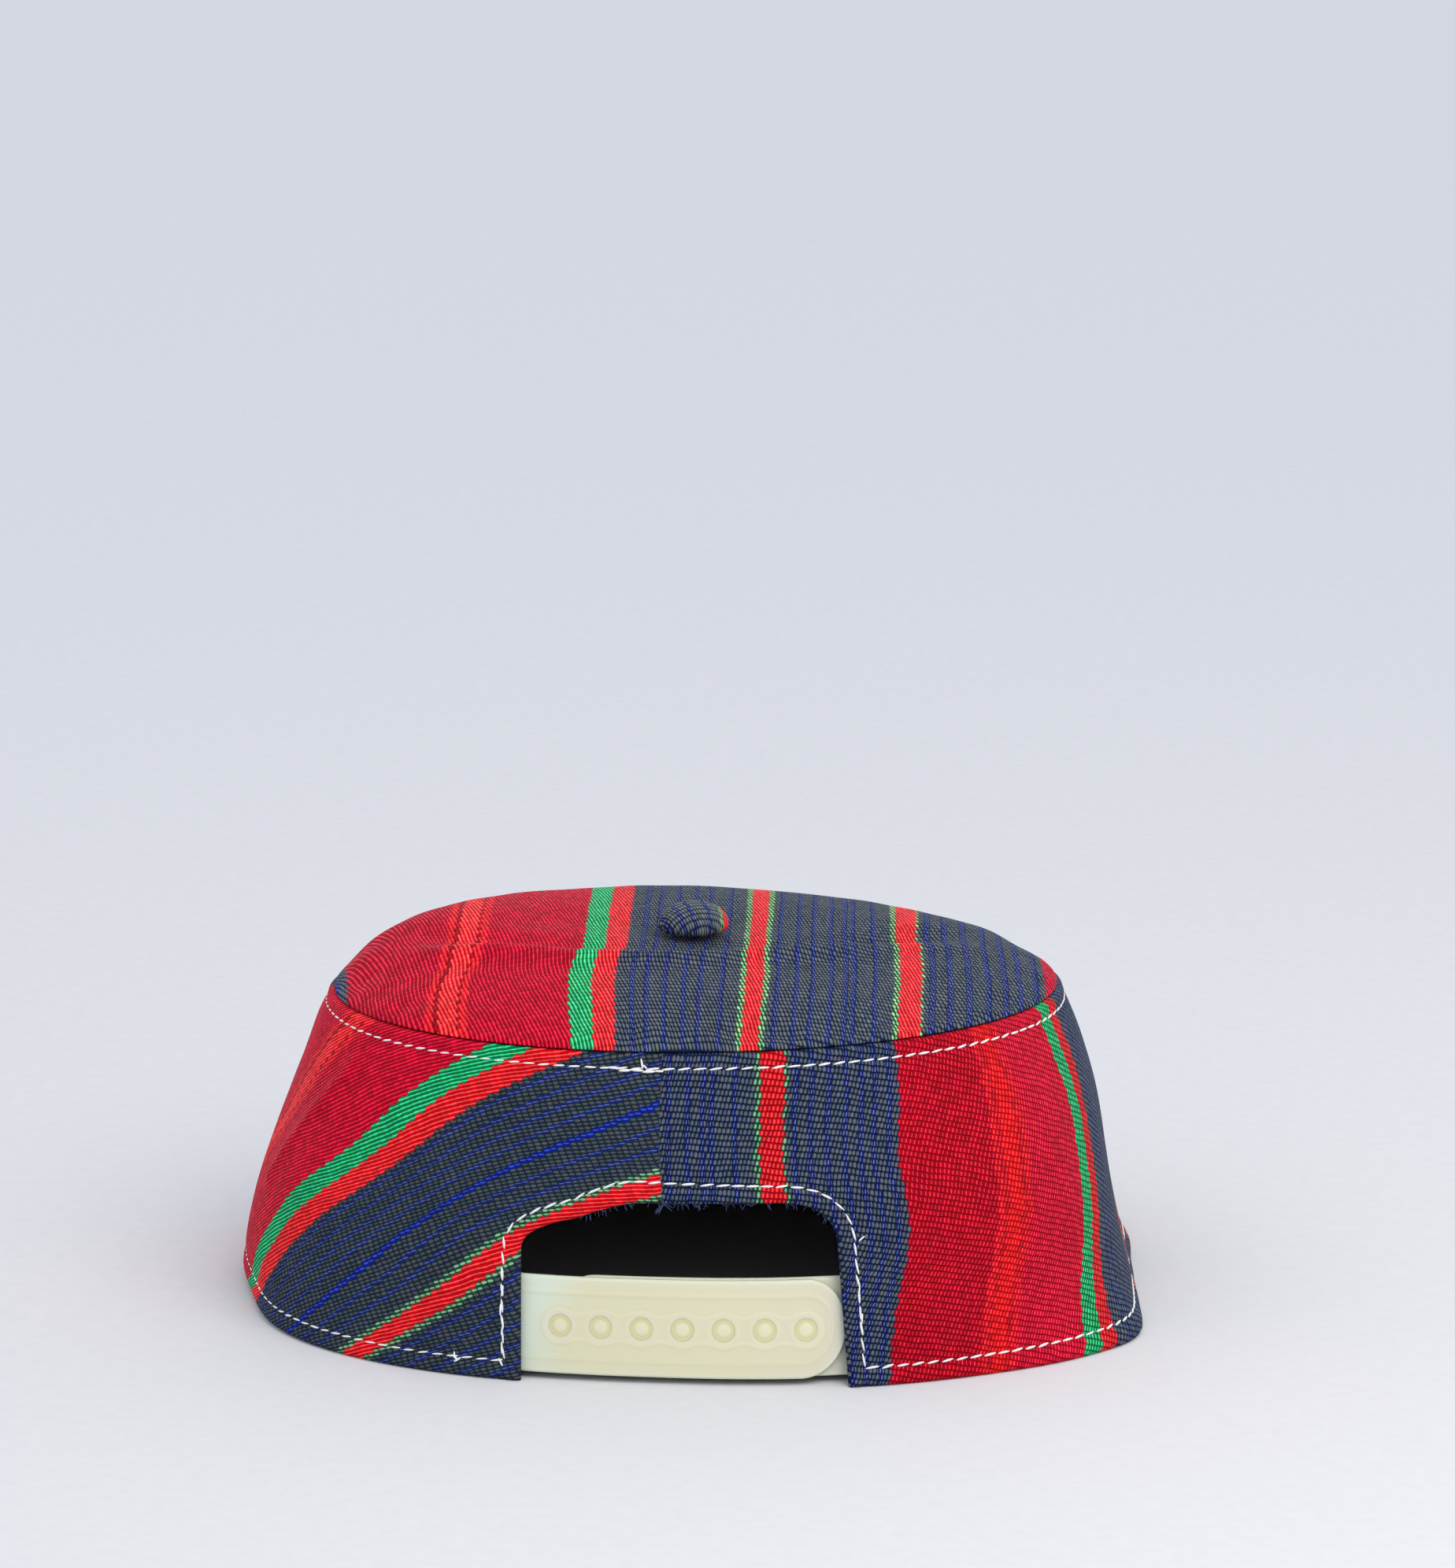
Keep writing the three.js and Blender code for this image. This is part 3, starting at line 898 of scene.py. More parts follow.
# Lines moulded on the outer strap: inside its edge, round the row of snaps, and round each hole.
BORDER_LINE = Sizes(inside=2.9, height=0.14, spread=0.3)
CHAIN = Sizes(reach=3.4, waist=2.5, height=0.09, spread=0.3)
HOLE_RIM = Sizes(radius=2.75, height=0.06, spread=0.4)


def wall_lean(run):
    """How far along the wall its points move for each millimetre of height."""
    angle = strap_angle(run)
    low = wall_point(angle, STRAP.low / BAND_HEIGHT)
    high = wall_point(angle, STRAP.high / BAND_HEIGHT)
    return (high.x - low.x) / (high.z - low.z)


class Snap:
    """A hole or a peg, round as seen on the wall."""

    def __init__(self, run):
        self.run = run
        self.lean = wall_lean(run)

    def offset(self, spot):
        up = spot.y - STRAP_MIDDLE
        return Vector((spot.x - self.run + self.lean * up, up * WALL_SLOPE))

    def spot(self, offset):
        up = offset.y / WALL_SLOPE
        return Vector((self.run + offset.x - self.lean * up, STRAP_MIDDLE + up))


SNAPS = [Snap(run) for run in SNAP_RUNS]


class StrapPlate:
    """One strap laid flat: runs along it from the hat's middle, and heights over the floor."""

    def __init__(self, strap, face, pierced):
        self.side = math.copysign(1, strap.end - strap.start)
        self.end = strap.end
        self.length = abs(strap.end - strap.start)
        self.face = face
        self.pierced = pierced
        self.columns = round(self.length / STRAP_GRID.step)

    def spot(self, column, row):
        left = (1 - column / self.columns) ** STRAP_END.crowding
        past = max(0.0, 1 - self.length * left / STRAP_END.round)
        narrowing = math.sqrt(1 - STRAP_END.bluntness * past**2)
        across = row / STRAP_GRID.rows - 0.5
        across += STRAP_GRID.crowding * math.sin(TURN * across)
        run = self.end - self.side * self.length * left
        return Vector((run, STRAP_MIDDLE + across * (STRAP.high - STRAP.low) * narrowing))

    def near_snap(self, spot):
        """The distance from the nearest snap's middle, and that snap."""
        snap = min(SNAPS, key=lambda snap: abs(spot.x - snap.run))
        return snap.offset(spot).length, snap

    def from_chain(self, spot):
        """Distance outside the wavy line that runs round the row of snaps."""
        _, snap = self.near_snap(spot)
        offset = snap.offset(spot)
        if spot.x < SNAPS[0].run or spot.x > SNAPS[-1].run:
            return offset.length - CHAIN.reach
        wave = 0.5 - 0.5 * math.cos(TURN * offset.x / SNAP.pitch)
        return abs(offset.y) - lerp(CHAIN.reach, CHAIN.waist, wave)

    def from_edge(self, spot):
        """Distance inside the strap's outline."""
        half = (STRAP.high - STRAP.low) / 2
        inside = self.side * (self.end - spot.x)
        along = half - abs(spot.y - STRAP_MIDDLE)
        past = STRAP_END.round - inside
        if past <= 0:
            return min(along, self.length - inside)
        across = abs(spot.y - STRAP_MIDDLE)
        reach = math.sqrt((past / STRAP_END.round) ** 2 * STRAP_END.bluntness + (across / half) ** 2)
        return half * (1 - reach)

    def relief(self, spot, edge):
        if not self.pierced:
            return 0.0
        away, _ = self.near_snap(spot)
        up = BORDER_LINE.height * bell(edge - BORDER_LINE.inside, BORDER_LINE.spread)
        up += CHAIN.height * bell(self.from_chain(spot), CHAIN.spread)
        return up + HOLE_RIM.height * bell(away - HOLE_RIM.radius, HOLE_RIM.spread)

    def point(self, spot, depth):
        return wall_point(strap_angle(spot.x), spot.y / BAND_HEIGHT, self.face + depth)


def flat_plate(bm, plate):
    """The strap's face laid flat, with a round hole at each snap if it is pierced."""
    spots = grid_sheet(bm, plate.columns, STRAP_GRID.rows, lambda *crossing: plate.spot(*crossing).to_3d())
    bmesh.ops.remove_doubles(bm, verts=list(spots), dist=0.001)
    if not plate.pierced:
        return
    middles = [(face, face.calc_center_median().xy) for face in bm.faces]
    inside = [face for face, middle in middles if plate.near_snap(middle)[0] < SNAP.hole_radius]
    bmesh.ops.delete(bm, geom=inside, context="FACES")
    for vert in [vert for vert in bm.verts if vert.is_boundary]:
        away, snap = plate.near_snap(vert.co.xy)
        if away < SNAP.hole_radius + HOLE_MARGIN:
            vert.co = snap.spot(snap.offset(vert.co.xy) * SNAP.hole_radius / away).to_3d()


def of_kind(kind, items):
    return [item for item in items if isinstance(item, kind)]


def back_and_walls(bm):
    """Adds a strap's back and the walls round its edges and holes, and returns their vertices."""
    face_verts = set(bm.verts)
    back = bmesh.ops.duplicate(bm, geom=bm.verts[:] + bm.edges[:] + bm.faces[:])["geom"]
    bmesh.ops.reverse_faces(bm, faces=of_kind(bmesh.types.BMFace, back))
    rims = [edge for edge in bm.edges if edge.is_boundary and edge.verts[0] in face_verts]
    walls = bmesh.ops.extrude_edge_only(bm, edges=rims)["geom"]
    return set(of_kind(bmesh.types.BMVert, back + walls))


def strap_body(bm, plate):
    """A plate with round edges, mapped for its plastic and bent to the hat's wall."""
    plate_map = bm.loops.layers.uv.new("plate")
    relief_map = bm.loops.layers.uv.new("relief")
    flat_plate(bm, plate)
    behind = back_and_walls(bm)
    for vert in bm.verts:
        spot = vert.co.xy
        away, _ = plate.near_snap(spot)
        edge = plate.from_edge(spot)
        for loop in vert.link_loops:
            loop[plate_map].uv = (spot.x, plate.from_chain(spot))
            loop[relief_map].uv = (max(0.0, edge), away)
        depth = turned_in(max(0.0, edge), STRAP_ROUND)
        if plate.pierced:
            depth = max(depth, turned_in(max(0.0, away - SNAP.hole_radius), HOLE_ROUND))
        if vert in behind:
            depth = STRAP.thickness - depth
        else:
            depth -= plate.relief(spot, edge)
        vert.co = plate.point(spot, depth)


def crisp_edges(bm):
    """Keeps shading from running round the sharp edges of the holes and collars."""
    for edge in bm.edges:
        if edge.calc_face_angle(0) > math.radians(CRISP_FROM):
            edge.smooth = False


def peg(bm, plate, snap):
    """A short pin in a collar that fills the hole round it."""

    def place(column, row):
        radius, height = PEG_PROFILE[row]
        angle = TURN * (column % PEG_AROUND) / PEG_AROUND
        spot = snap.spot(Vector((math.cos(angle), math.sin(angle))) * radius)
        return plate.point(spot, OUTER_FACE - INNER_FACE - height)

    spots = grid_sheet(bm, PEG_AROUND, len(PEG_PROFILE) - 1, place)
    plate_map = bm.loops.layers.uv["plate"]
    relief_map = bm.loops.layers.uv["relief"]
    for vert, (_, row) in spots.items():
        for loop in vert.link_loops:
            loop[plate_map].uv = (snap.run, -CHAIN.reach)
            loop[relief_map].uv = (STRAP.high, PEG_PROFILE[row][0])


def outer_strap(material):
    bm = bmesh.new()
    strap_body(bm, StrapPlate(OUTER_STRAP, OUTER_FACE, True))
    crisp_edges(bm)
    return finished("strap_outer_plastic", bm, [material], weld=0.01)


def inner_strap(material):
    bm = bmesh.new()
    plate = StrapPlate(INNER_STRAP, INNER_FACE, False)
    strap_body(bm, plate)
    for snap in SNAPS:
        peg(bm, plate, snap)
    crisp_edges(bm)
    return finished("strap_inner_plastic", bm, [material], weld=0.01)


# Stitches.

STITCH = Sizes(pitch=3.1, length=2.75, thickness=0.52, tilt=7, lift=0.2)
# How stitches differ: swing (degrees), and shares of length and of thickness.
STITCH_CHANCE = Sizes(swing=3, length=0.06, thickness=0.1)
STITCH_FACES = Sizes(around=6, along=5)
# A small step along the wall, in radians and in rise, that shows which way its face looks.
NUDGE = 0.004
# Doubled stitches and loose ends of the thread: x and height in the back view, how far the heading
# turns up from level (degrees), length and thickness (mm).
LOOSE_THREADS = [
    (-16.2, 57.8, 2, 2.6, 0.6), (-14, 57.4, -4, 2.6, 0.6), (-11.7, 57.5, 3, 2.8, 0.65),
    (-9.3, 57.3, -3, 2.7, 0.6), (-7.3, 57.4, 2, 1.8, 0.5), (-10.6, 58.8, 78, 2.2, 0.42),
    (-10.1, 58.2, 40, 1.4, 0.4), (-47.2, 3.3, 35, 1.9, 0.5), (-46.7, 3.0, -35, 1.7, 0.5),
    (-47.4, 3.9, 80, 1.2, 0.4), (-38.1, 6, 84, 2.6, 0.42), (-38, 9.5, 97, 2.6, 0.42),
    (-38.3, 13, 85, 2.5, 0.42), (-38, 16.5, 95, 2.4, 0.42), (-38.1, 20, 86, 2.5, 0.42),
    (-38.3, 3.2, 60, 2, 0.45), (32.1, 27, -35, 1.7, 0.35), (31.4, 21.5, 80, 2.2, 0.4),
    (31.7, 17.5, 100, 2.4, 0.4), (32.2, 12.5, 98, 2.3, 0.4),
]


def one_stitch(bm, middle, along, outward, length, thickness):
    """A pointed stitch lying on the cloth."""
    forward = along.normalized()
    side = outward.cross(forward).normalized()
    up = forward.cross(side)
    turn = Matrix((forward, side, up)).transposed().to_4x4()
    size = Matrix.Diagonal((thickness / 2, thickness / 2, length / 2, 1))
    lie = Matrix.Rotation(math.radians(90), 4, "Y")
    place = Matrix.Translation(middle) @ turn @ lie @ size
    made = bmesh.ops.create_uvsphere(
        bm, u_segments=STITCH_FACES.around, v_segments=STITCH_FACES.along, radius=1, matrix=place
    )
    return made["verts"]


def band_face(angle, rise):
    """A point of the band's face, and the way out of it."""
    spot = BandSpot(angle, rise)
    around = wall_point(angle + NUDGE, rise) - wall_point(angle - NUDGE, rise)
    up = wall_point(angle, rise + NUDGE) - wall_point(angle, rise - NUDGE)
    return spot.place(False), around.cross(up).normalized()


def around_one(dice, share):
    return dice.uniform(1 - share, 1 + share)


def stitch_line(bm, path, dice):
    """Stitches along a path of (angle, rise) spots, a pitch apart."""
    points = [wall_point(*spot) for spot in path]
    runs = runs_along(points)
    count = round(runs[-1] / STITCH.pitch)
    step = runs[-1] / count
    index = 0
    for number in range(count):
        run = (number + 0.5) * step
        while runs[index + 1] < run:
            index += 1
        share = (run - runs[index]) / (runs[index + 1] - runs[index])
        angle = lerp(path[index][0], path[index + 1][0], share)
        rise = lerp(path[index][1], path[index + 1][1], share)
        middle, outward = band_face(angle, rise)
        swing = math.radians(STITCH.tilt + dice.gauss(0, STITCH_CHANCE.swing))
        along = Matrix.Rotation(swing, 3, outward) @ (points[index + 1] - points[index])
        length = STITCH.length * step / STITCH.pitch * around_one(dice, STITCH_CHANCE.length)
        thickness = STITCH.thickness * around_one(dice, STITCH_CHANCE.thickness)
        lift = outward * STITCH.thickness * STITCH.lift
        one_stitch(bm, middle + lift, along, outward, length, thickness)


def loose_thread(bm, x, height, heading, length, thickness):
    """A piece of thread laid on the band's face at a place of the back view."""
    rise = height / BAND_HEIGHT
    middle, outward = band_face(back_angle(x, rise), rise)
    level = Vector((0, 0, 1)).cross(outward).normalized()
    along = Matrix.Rotation(math.radians(-heading), 3, outward) @ level
    one_stitch(bm, middle + outward * thickness * 0.4, along, outward, length, thickness)


def level_path(rise, start, end, steps=240):
    return [(lerp(start, end, step / steps), rise) for step in range(steps + 1)]


def opening_path():
    """The stitch line that follows the opening, from the left hem over the arch to the right hem."""
    path = []
    for before, point, after in zip(EDGE, EDGE[1:], EDGE[2:]):
        tangent = (after - before).normalized()
        outside = Vector((-tangent.y, tangent.x))
        path.append(point + outside * opening_stitch(point.x))
    start = HEM_STITCH / WALL_SLOPE
    first = Vector((OPENING.left_hem - OPENING_STITCH.inside, start))
    right_x = side_x(RIGHT_SIDE, start)
    last = Vector((right_x + OPENING_STITCH.inside, start))
    return [(back_angle(p.x, p.y / BAND_HEIGHT), p.y / BAND_HEIGHT) for p in [first, *path, last]]


def stitches(material):
    bm = bmesh.new()
    dice = random.Random(7)
    seam_rise = 1 - SEAM_STITCH / WALL_RUN
    hem_rise = HEM_STITCH / WALL_RUN
    start = back_angle(0, 1)
    stitch_line(bm, level_path(seam_rise, start, start + TURN), dice)
    right_corner = side_x(RIGHT_SIDE, OPENING_STITCH.corner_height)
    right = back_angle(right_corner + OPENING_STITCH.inside, hem_rise)
    left = back_angle(OPENING.left_hem - OPENING_STITCH.inside, hem_rise) + TURN
    stitch_line(bm, level_path(hem_rise, right, left), dice)
    stitch_line(bm, opening_path(), dice)
    for row in LOOSE_THREADS:
        loose_thread(bm, *row)
    return finished("stitches", bm, [material], weld=0.001)


# Frayed ends of the cloth under the arch of the opening: x from and to, number and sizes (mm).
FRAYS = table(
    "start end count shortest longest thickness",
    (-23, 27, 70, 0.6, 1.8, 0.12),
    (-6.8, -6, 6, 1.6, 3.2, 0.18),
)
# How far the frayed ends swing from hanging straight down (degrees).
FRAY_SPREAD = 38


def frays(material):
    bm = bmesh.new()
    dice = random.Random(11)
    arch = [(point.x, point.y) for point in ARCH]
    for fray in FRAYS:
        for _ in range(fray.count):
            x = dice.uniform(fray.start, fray.end)
            height = interpolate(x, arch)
            length = dice.uniform(fray.shortest, fray.longest)
            angle = back_angle(x, height / BAND_HEIGHT)
            root = wall_point(angle, height / BAND_HEIGHT, BAND_CLOTH / 2)
            turn = math.radians(dice.gauss(0, FRAY_SPREAD))
            hang = Vector((math.sin(turn), -0.2 * dice.random(), -math.cos(turn)))
            one_stitch(bm, root + hang * length * 0.45, hang, Vector((0, -1, 0)), length, fray.thickness)
    return finished("frayed_ends", bm, [material], weld=0.001)


# Materials.

class Value:
    """One socket of a recipe. Arithmetic on it adds Math nodes."""

    def __init__(self, recipe, socket):
        self.recipe = recipe
        self.socket = socket

    def math(self, operation, *others):
        return self.recipe.node("ShaderNodeMath", {"operation": operation}, [self, *others])

    def __add__(self, other):
        return self.math("ADD", other)

    def __radd__(self, other):
        return self.math("ADD", other)

    def __sub__(self, other):
        return self.math("SUBTRACT", other)

    def __rsub__(self, other):
        return self.recipe.node("ShaderNodeMath", {"operation": "SUBTRACT"}, [other, self])

    def __mul__(self, other):
        return self.math("MULTIPLY", other)

    def __rmul__(self, other):
        return self.math("MULTIPLY", other)

    def __truediv__(self, other):
        return self.math("DIVIDE", other)

    def __pow__(self, other):
        return self.math("POWER", other)

    def __abs__(self):
        return self.math("ABSOLUTE")

    def near(self, other, reach):
        return self.math("COMPARE", other, reach)

    def floor(self):
        return self.math("FLOOR")

    def fraction(self):
        return self.math("FRACT")

    def clamped(self):
        return self.recipe.node("ShaderNodeClamp", {}, [self])

    def bell(self, middle, spread):
        return (((self - middle) / spread) ** 2 * -1).math("EXPONENT")

    def ramp(self, low, high):
        """0 at low, 1 at high."""
        return ((self - low) / (high - low)).clamped()

    def between(self, low, high):
        """Low at 0, high at 1."""
        return self * (high - low) + low


class Recipe:
    """A material whose nodes are added one by one."""

    def __init__(self, name):
        self.material = bpy.data.materials.new(name)
        self.material.use_nodes = True
        self.tree = self.material.node_tree
        self.shader = self.tree.nodes["Principled BSDF"]

    def feed(self, socket, value):
        if isinstance(value, Value):
            self.tree.links.new(value.socket, socket)
        else:
            socket.default_value = value

    def node(self, kind, settings, inputs, output=0):
        made = self.tree.nodes.new(kind)
        for key, value in settings.items():
            if key == "stops":
                self.set_stops(made.color_ramp, value)
            else:
                setattr(made, key, value)
        named = inputs.items() if isinstance(inputs, dict) else enumerate(inputs)
        for key, value in named:
            self.feed(made.inputs[key], value)
        return Value(self, made.outputs[output])

    def set_stops(self, ramp, stops):
        """Each stop's colour holds until the next stop."""
        ramp.interpolation = "CONSTANT"
        for place, colour in stops[2:]:
            ramp.elements.new(place)
        for stop, (place, colour) in zip(ramp.elements, stops):
            stop.position = place
            stop.color = colour

    def place(self):
        """Where a point of the piece lies (m)."""
        return self.node("ShaderNodeTexCoord", {}, [], 3)

    def uv(self, name):
        return self.node("ShaderNodeUVMap", {"uv_map": name}, [])

    def noise(self, vector, scale, detail, output=0):
        inputs = {"Vector": vector, "Scale": scale, "Detail": detail}
        return self.node("ShaderNodeTexNoise", {}, inputs, output)

    def chance(self, cell, output=0):
        """A random number, or a random colour, for each cell."""
        return self.node("ShaderNodeTexWhiteNoise", {"noise_dimensions": "2D"}, {"Vector": cell}, output)

    def bump(self, height, strength, distance):
        inputs = {"Strength": strength, "Distance": distance, "Height": height}
        return self.node("ShaderNodeBump", {}, inputs)

    def parts(self, vector):
        """The first two numbers of a vector."""
        split = self.node("ShaderNodeSeparateXYZ", {}, [vector]).socket.node
        return Value(self, split.outputs[0]), Value(self, split.outputs[1])

    def vectors(self, operation, *values):
        return self.node("ShaderNodeVectorMath", {"operation": operation}, list(values))

    def mix(self, share, first, second, blend="MIX"):
        settings = {"data_type": "RGBA", "blend_type": blend}
        return self.node("ShaderNodeMix", settings, {0: share, 6: first, 7: second}, 2)

    def surface(self, **inputs):
        for key, value in inputs.items():
            self.feed(self.shader.inputs[key.replace("_", " ").title()], value)
        return self.material

    def fixed(self, **inputs):
        """Values that are the same all over, on the shader's own sockets."""
        for key, value in inputs.items():
            self.shader.inputs[key.replace("_", " ").title().replace("Ior", "IOR")].default_value = value
        return self.material


def linear(level):
    share = level / 255
    return share / 12.92 if share <= 0.04045 else ((share + 0.055) / 1.055) ** 2.4


def paint(red, green, blue):
    return (linear(red), linear(green), linear(blue), 1.0)


def yarn(thread, ground, width, length):
    """Raised threads of a stripe and the cloth between them, with the threads' width (mm) and length.
    The threads' colour is partly their yarn's own and partly a painted highlight on their tops.
    """
    return Sizes(thread=paint(*thread), ground=paint(*ground), width=width, length=length)


REPEAT = 142
# Each stripe's raised thread colour is partly a painted highlight on the threads' tops; its ground colour
# is the cloth's own.
YARNS = {
    "bright": yarn((252, 84, 88), (204, 4, 12), 0.44, 0.8),
    "red": yarn((250, 80, 86), (188, 4, 14), 0.44, 0.66),
    "scarlet": yarn((242, 56, 70), (196, 4, 16), 0.44, 0.8),
    "crimson": yarn((228, 38, 78), (150, 0, 19), 0.36, 0.78),
    "rose": yarn((230, 36, 76), (152, 0, 19), 0.36, 0.78),
    "hairline": yarn((180, 20, 42), (116, 0, 14), 0.4, 0.6),
    "green": yarn((80, 214, 148), (4, 114, 58), 0.44, 0.66),
    "pale_green": yarn((150, 204, 140), (24, 78, 52), 0.56, 0.5),
    "navy": yarn((92, 101, 104), (24, 34, 60), 0.62, 0.48),
    "pinstripe": yarn((86, 101, 168), (17, 28, 88), 0.36, 0.46),
    "royal": yarn((52, 82, 196), (8, 22, 120), 0.5, 0.5),
}
LEFT_YARNS = YARNS | {
    "bright": yarn((250, 70, 78), (206, 5, 14), 0.42, 0.8),
    "red": yarn((250, 76, 82), (192, 0, 8), 0.33, 0.8),
    "scarlet": yarn((240, 52, 66), (196, 4, 15), 0.4, 0.8),
    "crimson": yarn((238, 32, 78), (162, 0, 22), 0.34, 0.78),
    "rose": yarn((236, 27, 74), (158, 0, 21), 0.34, 0.78),
    "green": yarn((56, 214, 150), (1, 110, 56), 0.36, 0.8),
    "pale_green": yarn((120, 172, 126), (24, 66, 50), 0.5, 0.5),
    "navy": yarn((66, 76, 78), (24, 34, 52), 0.6, 0.48),
    "pinstripe": yarn((76, 93, 160), (20, 32, 90), 0.3, 0.54),
    "royal": yarn((48, 76, 182), (8, 24, 116), 0.42, 0.5),
}
# On the right piece the crimson after the bright group is made lighter than the crimson before it.
RIGHT_YARNS = YARNS | {
    "bright": yarn((242, 52, 56), (192, 2, 12), 0.44, 0.44),
    "red": yarn((238, 60, 68), (166, 2, 12), 0.48, 0.44),
    "scarlet": yarn((238, 62, 76), (186, 2, 16), 0.36, 0.44),
    "crimson": yarn((228, 42, 80), (150, 0, 14), 0.3, 0.44),
    "rose": yarn((244, 52, 92), (166, 0, 24), 0.34, 0.44),
    "hairline": yarn((206, 36, 54), (146, 2, 16), 0.4, 0.6),
    "green": yarn((72, 206, 140), (3, 112, 58), 0.46, 0.46),
    "pale_green": yarn((116, 170, 122), (22, 62, 48), 0.54, 0.44),
    "navy": yarn((80, 90, 99), (20, 31, 60), 0.66, 0.46),
    "pinstripe": yarn((84, 99, 162), (13, 24, 82), 0.34, 0.44),
}
BUTTON_YARNS = YARNS | {"navy": yarn((102, 111, 114), (32, 42, 64), 0.68, 0.5)}
# Where each stripe starts in the repeat (mm).
STRIPES = [
    (0, "crimson"), (18, "scarlet"), (19.8, "hairline"), (20.5, "bright"), (24, "hairline"),
    (24.7, "scarlet"), (26.5, "rose"), (46.5, "green"), (51.3, "red"), (55.7, "navy"),
    (81.7, "pale_green"), (82.7, "red"), (86.8, "pale_green"), (87.7, "navy"),
    (113.7, "pale_green"), (114.7, "red"), (118.8, "pale_green"), (119.7, "navy"),
]
PINSTRIPES = (
    59.8, 62.8, 66.5, 70.6, 73.9, 78.4, 90, 93.9, 97.2, 100.9, 103.9, 105.6, 110,
    121.4, 124.5, 127.8, 131.2, 134.3, 137, 140,
)
LEFT_PINSTRIPES = (
    58, 61.2, 64.3, 67.3, 75.2, 78.7, 90, 93.5, 97, 100.5, 104, 107.6, 111.2,
    122.4, 125.9, 129.3, 132.8, 136.4,
)
# Half a pinstripe's width, how far it zigzags from row to row, and the one that is bolder (mm).
PINSTRIPE = Sizes(reach=0.44, zigzag=0.15)
BOLD_PINSTRIPE = Sizes(at=71.2, reach=0.6)
# A raised thread: the width of its place (mm), its height (m) and how sharply it stands out. Then for each
# weave the length of that place (mm), the thread's lean and taper in it, how far each row is set over, and
# how deep the cloth lies between rows, which also sets how dark the painted shade between rows is.
THREAD = Sizes(across=0.8, bump=0.0003, sharpness=2.2)
SLANTED = Sizes(row=1.45, lean=0.5, taper=0.3, set_over=0.5, gap=0.25)
SOFT_SLANTED = Sizes(row=1.25, lean=0.52, taper=0.2, set_over=0.5, gap=0.1)
ROWED = Sizes(row=1.18, lean=0.25, taper=0.35, set_over=0.42, gap=0.4)
# Where in a row the painted shade and the dip between rows start and are full, from the row's middle.
ROW_EDGE = (0.36, 0.5)
# How far the weave wanders out of true, and how large its fibres and its patches are.
WANDER = Sizes(grain=0.14, across=0.7, along=1.1)
FIBRE_GRAIN = 4.0
PATCH_GRAIN = 0.05
# How threads differ in width and shade, patches in shade, and threads in red, green and blue dye.
WIDTHS = (0.86, 1.14)
SHADES = Sizes(thread=(0.8, 1), patch=(0.88, 1.12), fibre=0.2)
DYES = Sizes(least=(0.89, 0.92, 0.89), range=(0.22, 0.16, 0.22))
# How high the threads, their unevenness and their fibres stand, as shares of the bump.
RELIEF = Sizes(thread=0.6, uneven=0.12, fibre=0.1)
# The black that the cloth is darkened towards between rows: painted shade.
GAP_SHADE_BLACK = (0, 0, 0, 1)


def stripe_steps(recipe, stripe_at, value):
    """A colour that changes from stripe to stripe along the repeat."""
    stops = [(start / REPEAT, value(name)) for start, name in STRIPES]
    return recipe.node("ShaderNodeValToRGB", {"stops": stops}, [stripe_at / REPEAT])


def in_repeat(across):
    return (across / REPEAT).fraction() * REPEAT


def nearest_place(recipe, value, places):
    """The one of the places along the repeat that is nearest to a value."""
    starts = [0] + [(place + following) / 2 for place, following in zip(places, places[1:])]
    stops = [(start / REPEAT, (place / REPEAT, 0, 0, 1)) for start, place in zip(starts, places)]
    nearest, _ = recipe.parts(recipe.node("ShaderNodeValToRGB", {"stops": stops}, [value / REPEAT]))
    return nearest * REPEAT


def wandering(recipe, flat):
    """The woven strip, drawn a little out of true from place to place."""
    wander = recipe.noise(flat, WANDER.grain, 2.0, 1)
    wander = recipe.vectors("SUBTRACT", wander, (0.5, 0.5, 0.5))
    wander = recipe.vectors("MULTIPLY", wander, (WANDER.across, WANDER.along, 0))
    return recipe.vectors("ADD", flat, wander)


def stripe_thread(recipe, yarns, stripe_at, x):
    """The thread of a stripe: how far across it a point lies, its colours, width and length."""
    thread = stripe_steps(recipe, stripe_at, lambda kind: yarns[kind].thread)
    ground = stripe_steps(recipe, stripe_at, lambda kind: yarns[kind].ground)
    sizes = stripe_steps(recipe, stripe_at, lambda kind: (yarns[kind].width, yarns[kind].length, 0, 1))
    width, length = recipe.parts(sizes)
    return Sizes(x=x, thread=thread, ground=ground, width=width, length=length)


def pinstripe_thread(recipe, under, off, reach, yarn, slant):
    """The thread under a pinstripe, swapped for the pinstripe's own within its reach."""
    chosen = off.near(0, reach)
    return Sizes(
        x=under.x + chosen * (off / THREAD.across + slant - under.x),
        thread=recipe.mix(chosen, under.thread, yarn.thread),
        ground=recipe.mix(chosen, under.ground, yarn.ground),
        width=under.width + chosen * (yarn.width - under.width),
        length=under.length + chosen * (yarn.length - under.length),
    )


def shaded(recipe, body, flat, chance, fibre):
    """The cloth's colour, lighter and darker from thread to thread and from patch to patch."""
    patch = recipe.noise(flat, PATCH_GRAIN, 3.0)
    shade = (chance.between(*SHADES.thread) + fibre * SHADES.fibre) * patch.between(*SHADES.patch)
    grey = recipe.node("ShaderNodeCombineColor", {}, [shade, shade, shade])
    return recipe.mix(1.0, body, grey, "MULTIPLY")


def dyed(recipe, body, cell):
    """The cloth's colour, with each thread a little off in its dye."""
    dye = recipe.vectors("MULTIPLY", recipe.chance(cell, 1), DYES.range)
    return recipe.mix(1.0, body, recipe.vectors("ADD", dye, DYES.least), "MULTIPLY")


